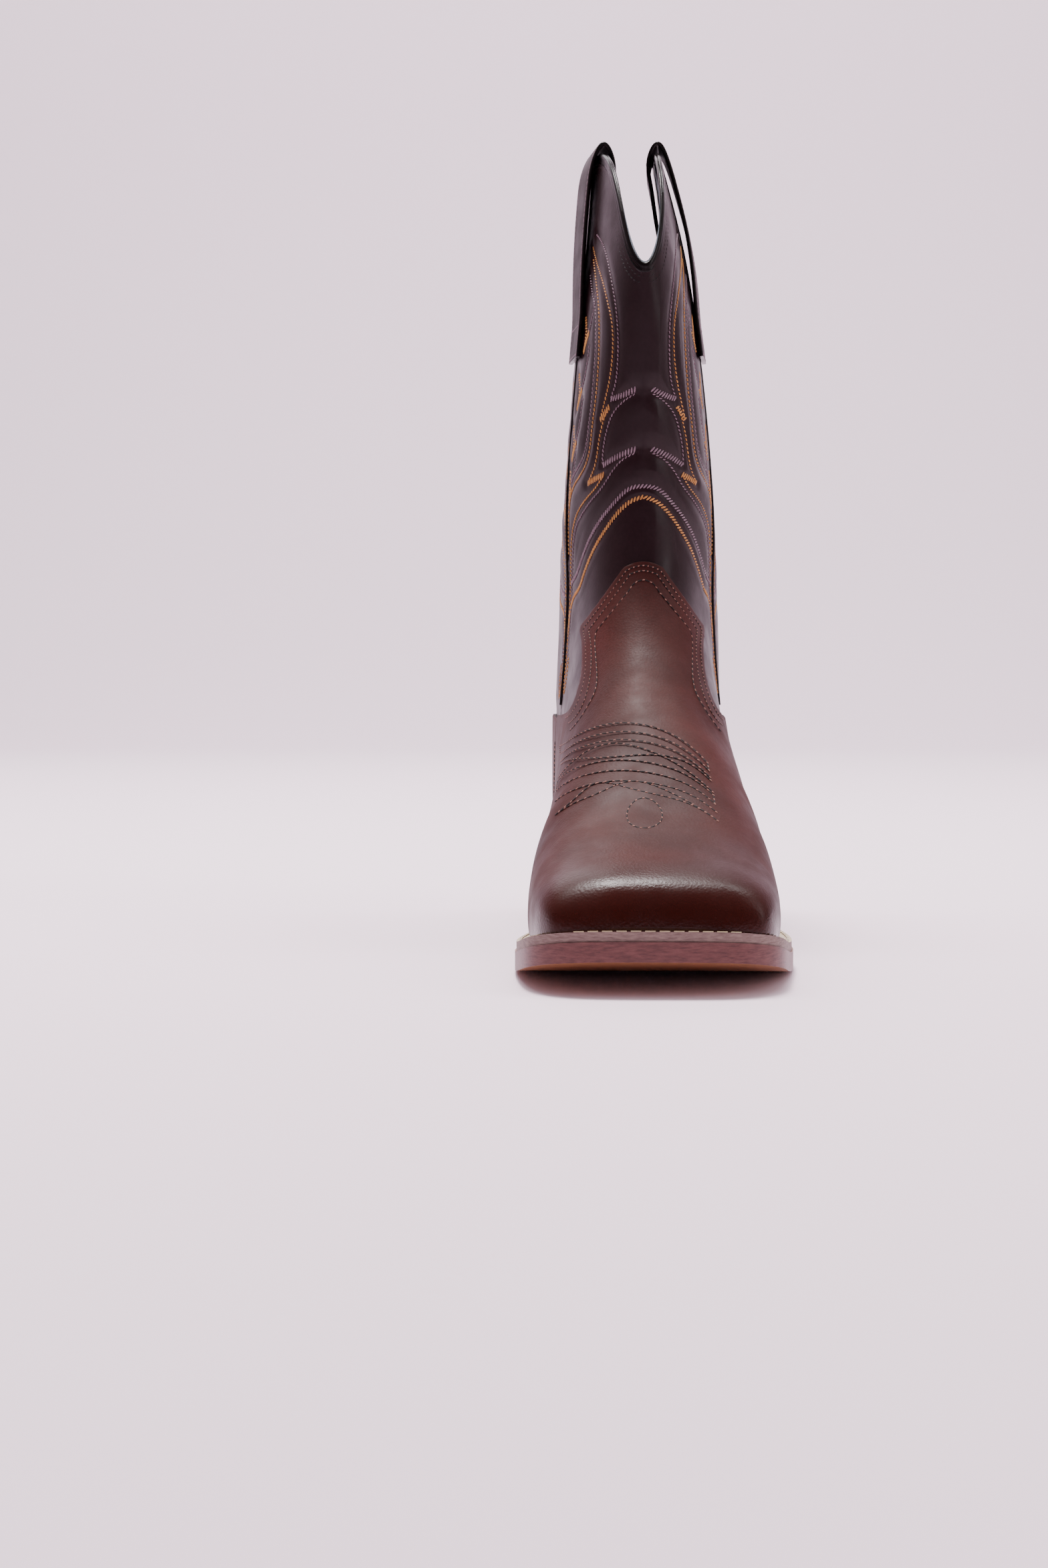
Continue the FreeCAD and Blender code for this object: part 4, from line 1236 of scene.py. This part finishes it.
FINISHES = {
    "outsole": OUTSOLE, "welt": WELT, "heel_rand": RAND, "heel_cap": CAP, "heel_nails": STEEL,
    "steel_shank": STEEL, "cork_filler": CORK, "insole_board": INSOLE, "sock_liner": SOCK,
    "toe_puff": BOARD, "counter_stiffener": BOARD, "shank_board": BOARD, "welt_stitches": WELT_THREAD,
    "shaft_lining_front": LINING, "shaft_lining_back": LINING, "vamp_lining": LINING,
    "heel_lining": LINING, "heel_lift_1": STACK, "heel_lift_2": STACK, "heel_lift_3": STACK,
    "heel_lift_4": STACK,
}
for node, finish in FINISHES.items():
    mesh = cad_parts[node].data
    mesh.materials.clear()
    mesh.materials.append(finish)


# ---------------------------------------------------------------- camera, floor and light
def look(name, data, place, target):
    ob = bpy.data.objects.new(name, data)
    bpy.context.scene.collection.objects.link(ob)
    ob.location = place
    ob.rotation_euler = (Vector(target) - Vector(place)).to_track_quat("-Z", "Y").to_euler()
    return ob


camera_data = bpy.data.cameras.new("camera")
camera_data.lens, camera_data.sensor_width = 50.0, 36.0
camera_data.clip_start, camera_data.clip_end = 0.01, 100
camera = bpy.data.objects.new("camera", camera_data)
bpy.context.scene.collection.objects.link(camera)
camera.location = (-0.0328, -0.9079, 0.115)
camera.rotation_euler = (math.radians(90 - 3.04), 0, math.radians(1.2))
bpy.context.scene.camera = camera


def area_light(name, place, target, size, power, tint=(1, 1, 1)):
    data = bpy.data.lights.new(name, "AREA")
    data.shape, data.size, data.size_y = "RECTANGLE", size[0], size[1]
    data.energy, data.color = power, tint
    return look(name, data, place, target)


area_light("key", (-0.12, 0.12, 1.6), (0, -0.05, 0.1), (0.32, 0.42), 38, (1.0, 0.94, 0.94))
area_light("fill", (1.5, -0.5, 0.9), (0, 0, 0.2), (0.5, 1.4), 9, (1.0, 0.95, 0.97))
area_light("back", (-0.5, 1.5, 1.6), (0, 0, 0.2), (1.6, 0.8), 14)
area_light("wall", (0, 0.5, 3.0), (0, 3.4, 0.9), (3.5, 1.2), 200)
world = bpy.data.worlds.new("studio")
world.use_nodes = True
sky = world.node_tree.nodes["Background"]
sky.inputs["Color"].default_value = (0.88, 0.78, 0.84, 1)
way = world.node_tree.nodes.new("ShaderNodeTexCoord")
facing = world.node_tree.nodes.new("ShaderNodeVectorMath")
facing.operation = "DOT_PRODUCT"
facing.inputs[1].default_value = (0.1, 0.6, 0.78)
bright = world.node_tree.nodes.new("ShaderNodeMapRange")
for socket, value in (("From Min", -0.7), ("From Max", 0.8), ("To Min", 0.14), ("To Max", 0.8)):
    bright.inputs[socket].default_value = value
world.node_tree.links.new(way.outputs["Generated"], facing.inputs[0])
world.node_tree.links.new(facing.outputs["Value"], bright.inputs["Value"])
world.node_tree.links.new(bright.outputs["Result"], sky.inputs["Strength"])
bpy.context.scene.world = world

BACKDROP = simple("backdrop_paper", (0.92, 0.76, 0.86, 1), 0.95)
sweep = [(-4.0, 0.0), (2.2, 0.0)]
sweep += [(2.2 + 1.2 * math.sin(t), 1.2 - 1.2 * math.cos(t)) for t in np.linspace(0.1, math.pi / 2, 14)]
sweep += [(3.4, 5.0)]
floor_points = [(x, y, z) for y, z in sweep for x in (-5, 5)]
floor_faces = [(2 * k, 2 * k + 1, 2 * k + 3, 2 * k + 2) for k in range(len(sweep) - 1)]
floor_mesh = bpy.data.meshes.new("floor")
floor_mesh.from_pydata(floor_points, [], floor_faces)
floor_mesh.materials.append(BACKDROP)
floor_mesh.polygons.foreach_set("use_smooth", [True] * len(floor_faces))
floor = bpy.data.objects.new("floor", floor_mesh)
bpy.context.scene.collection.objects.link(floor)
floor.location.z = -0.0003
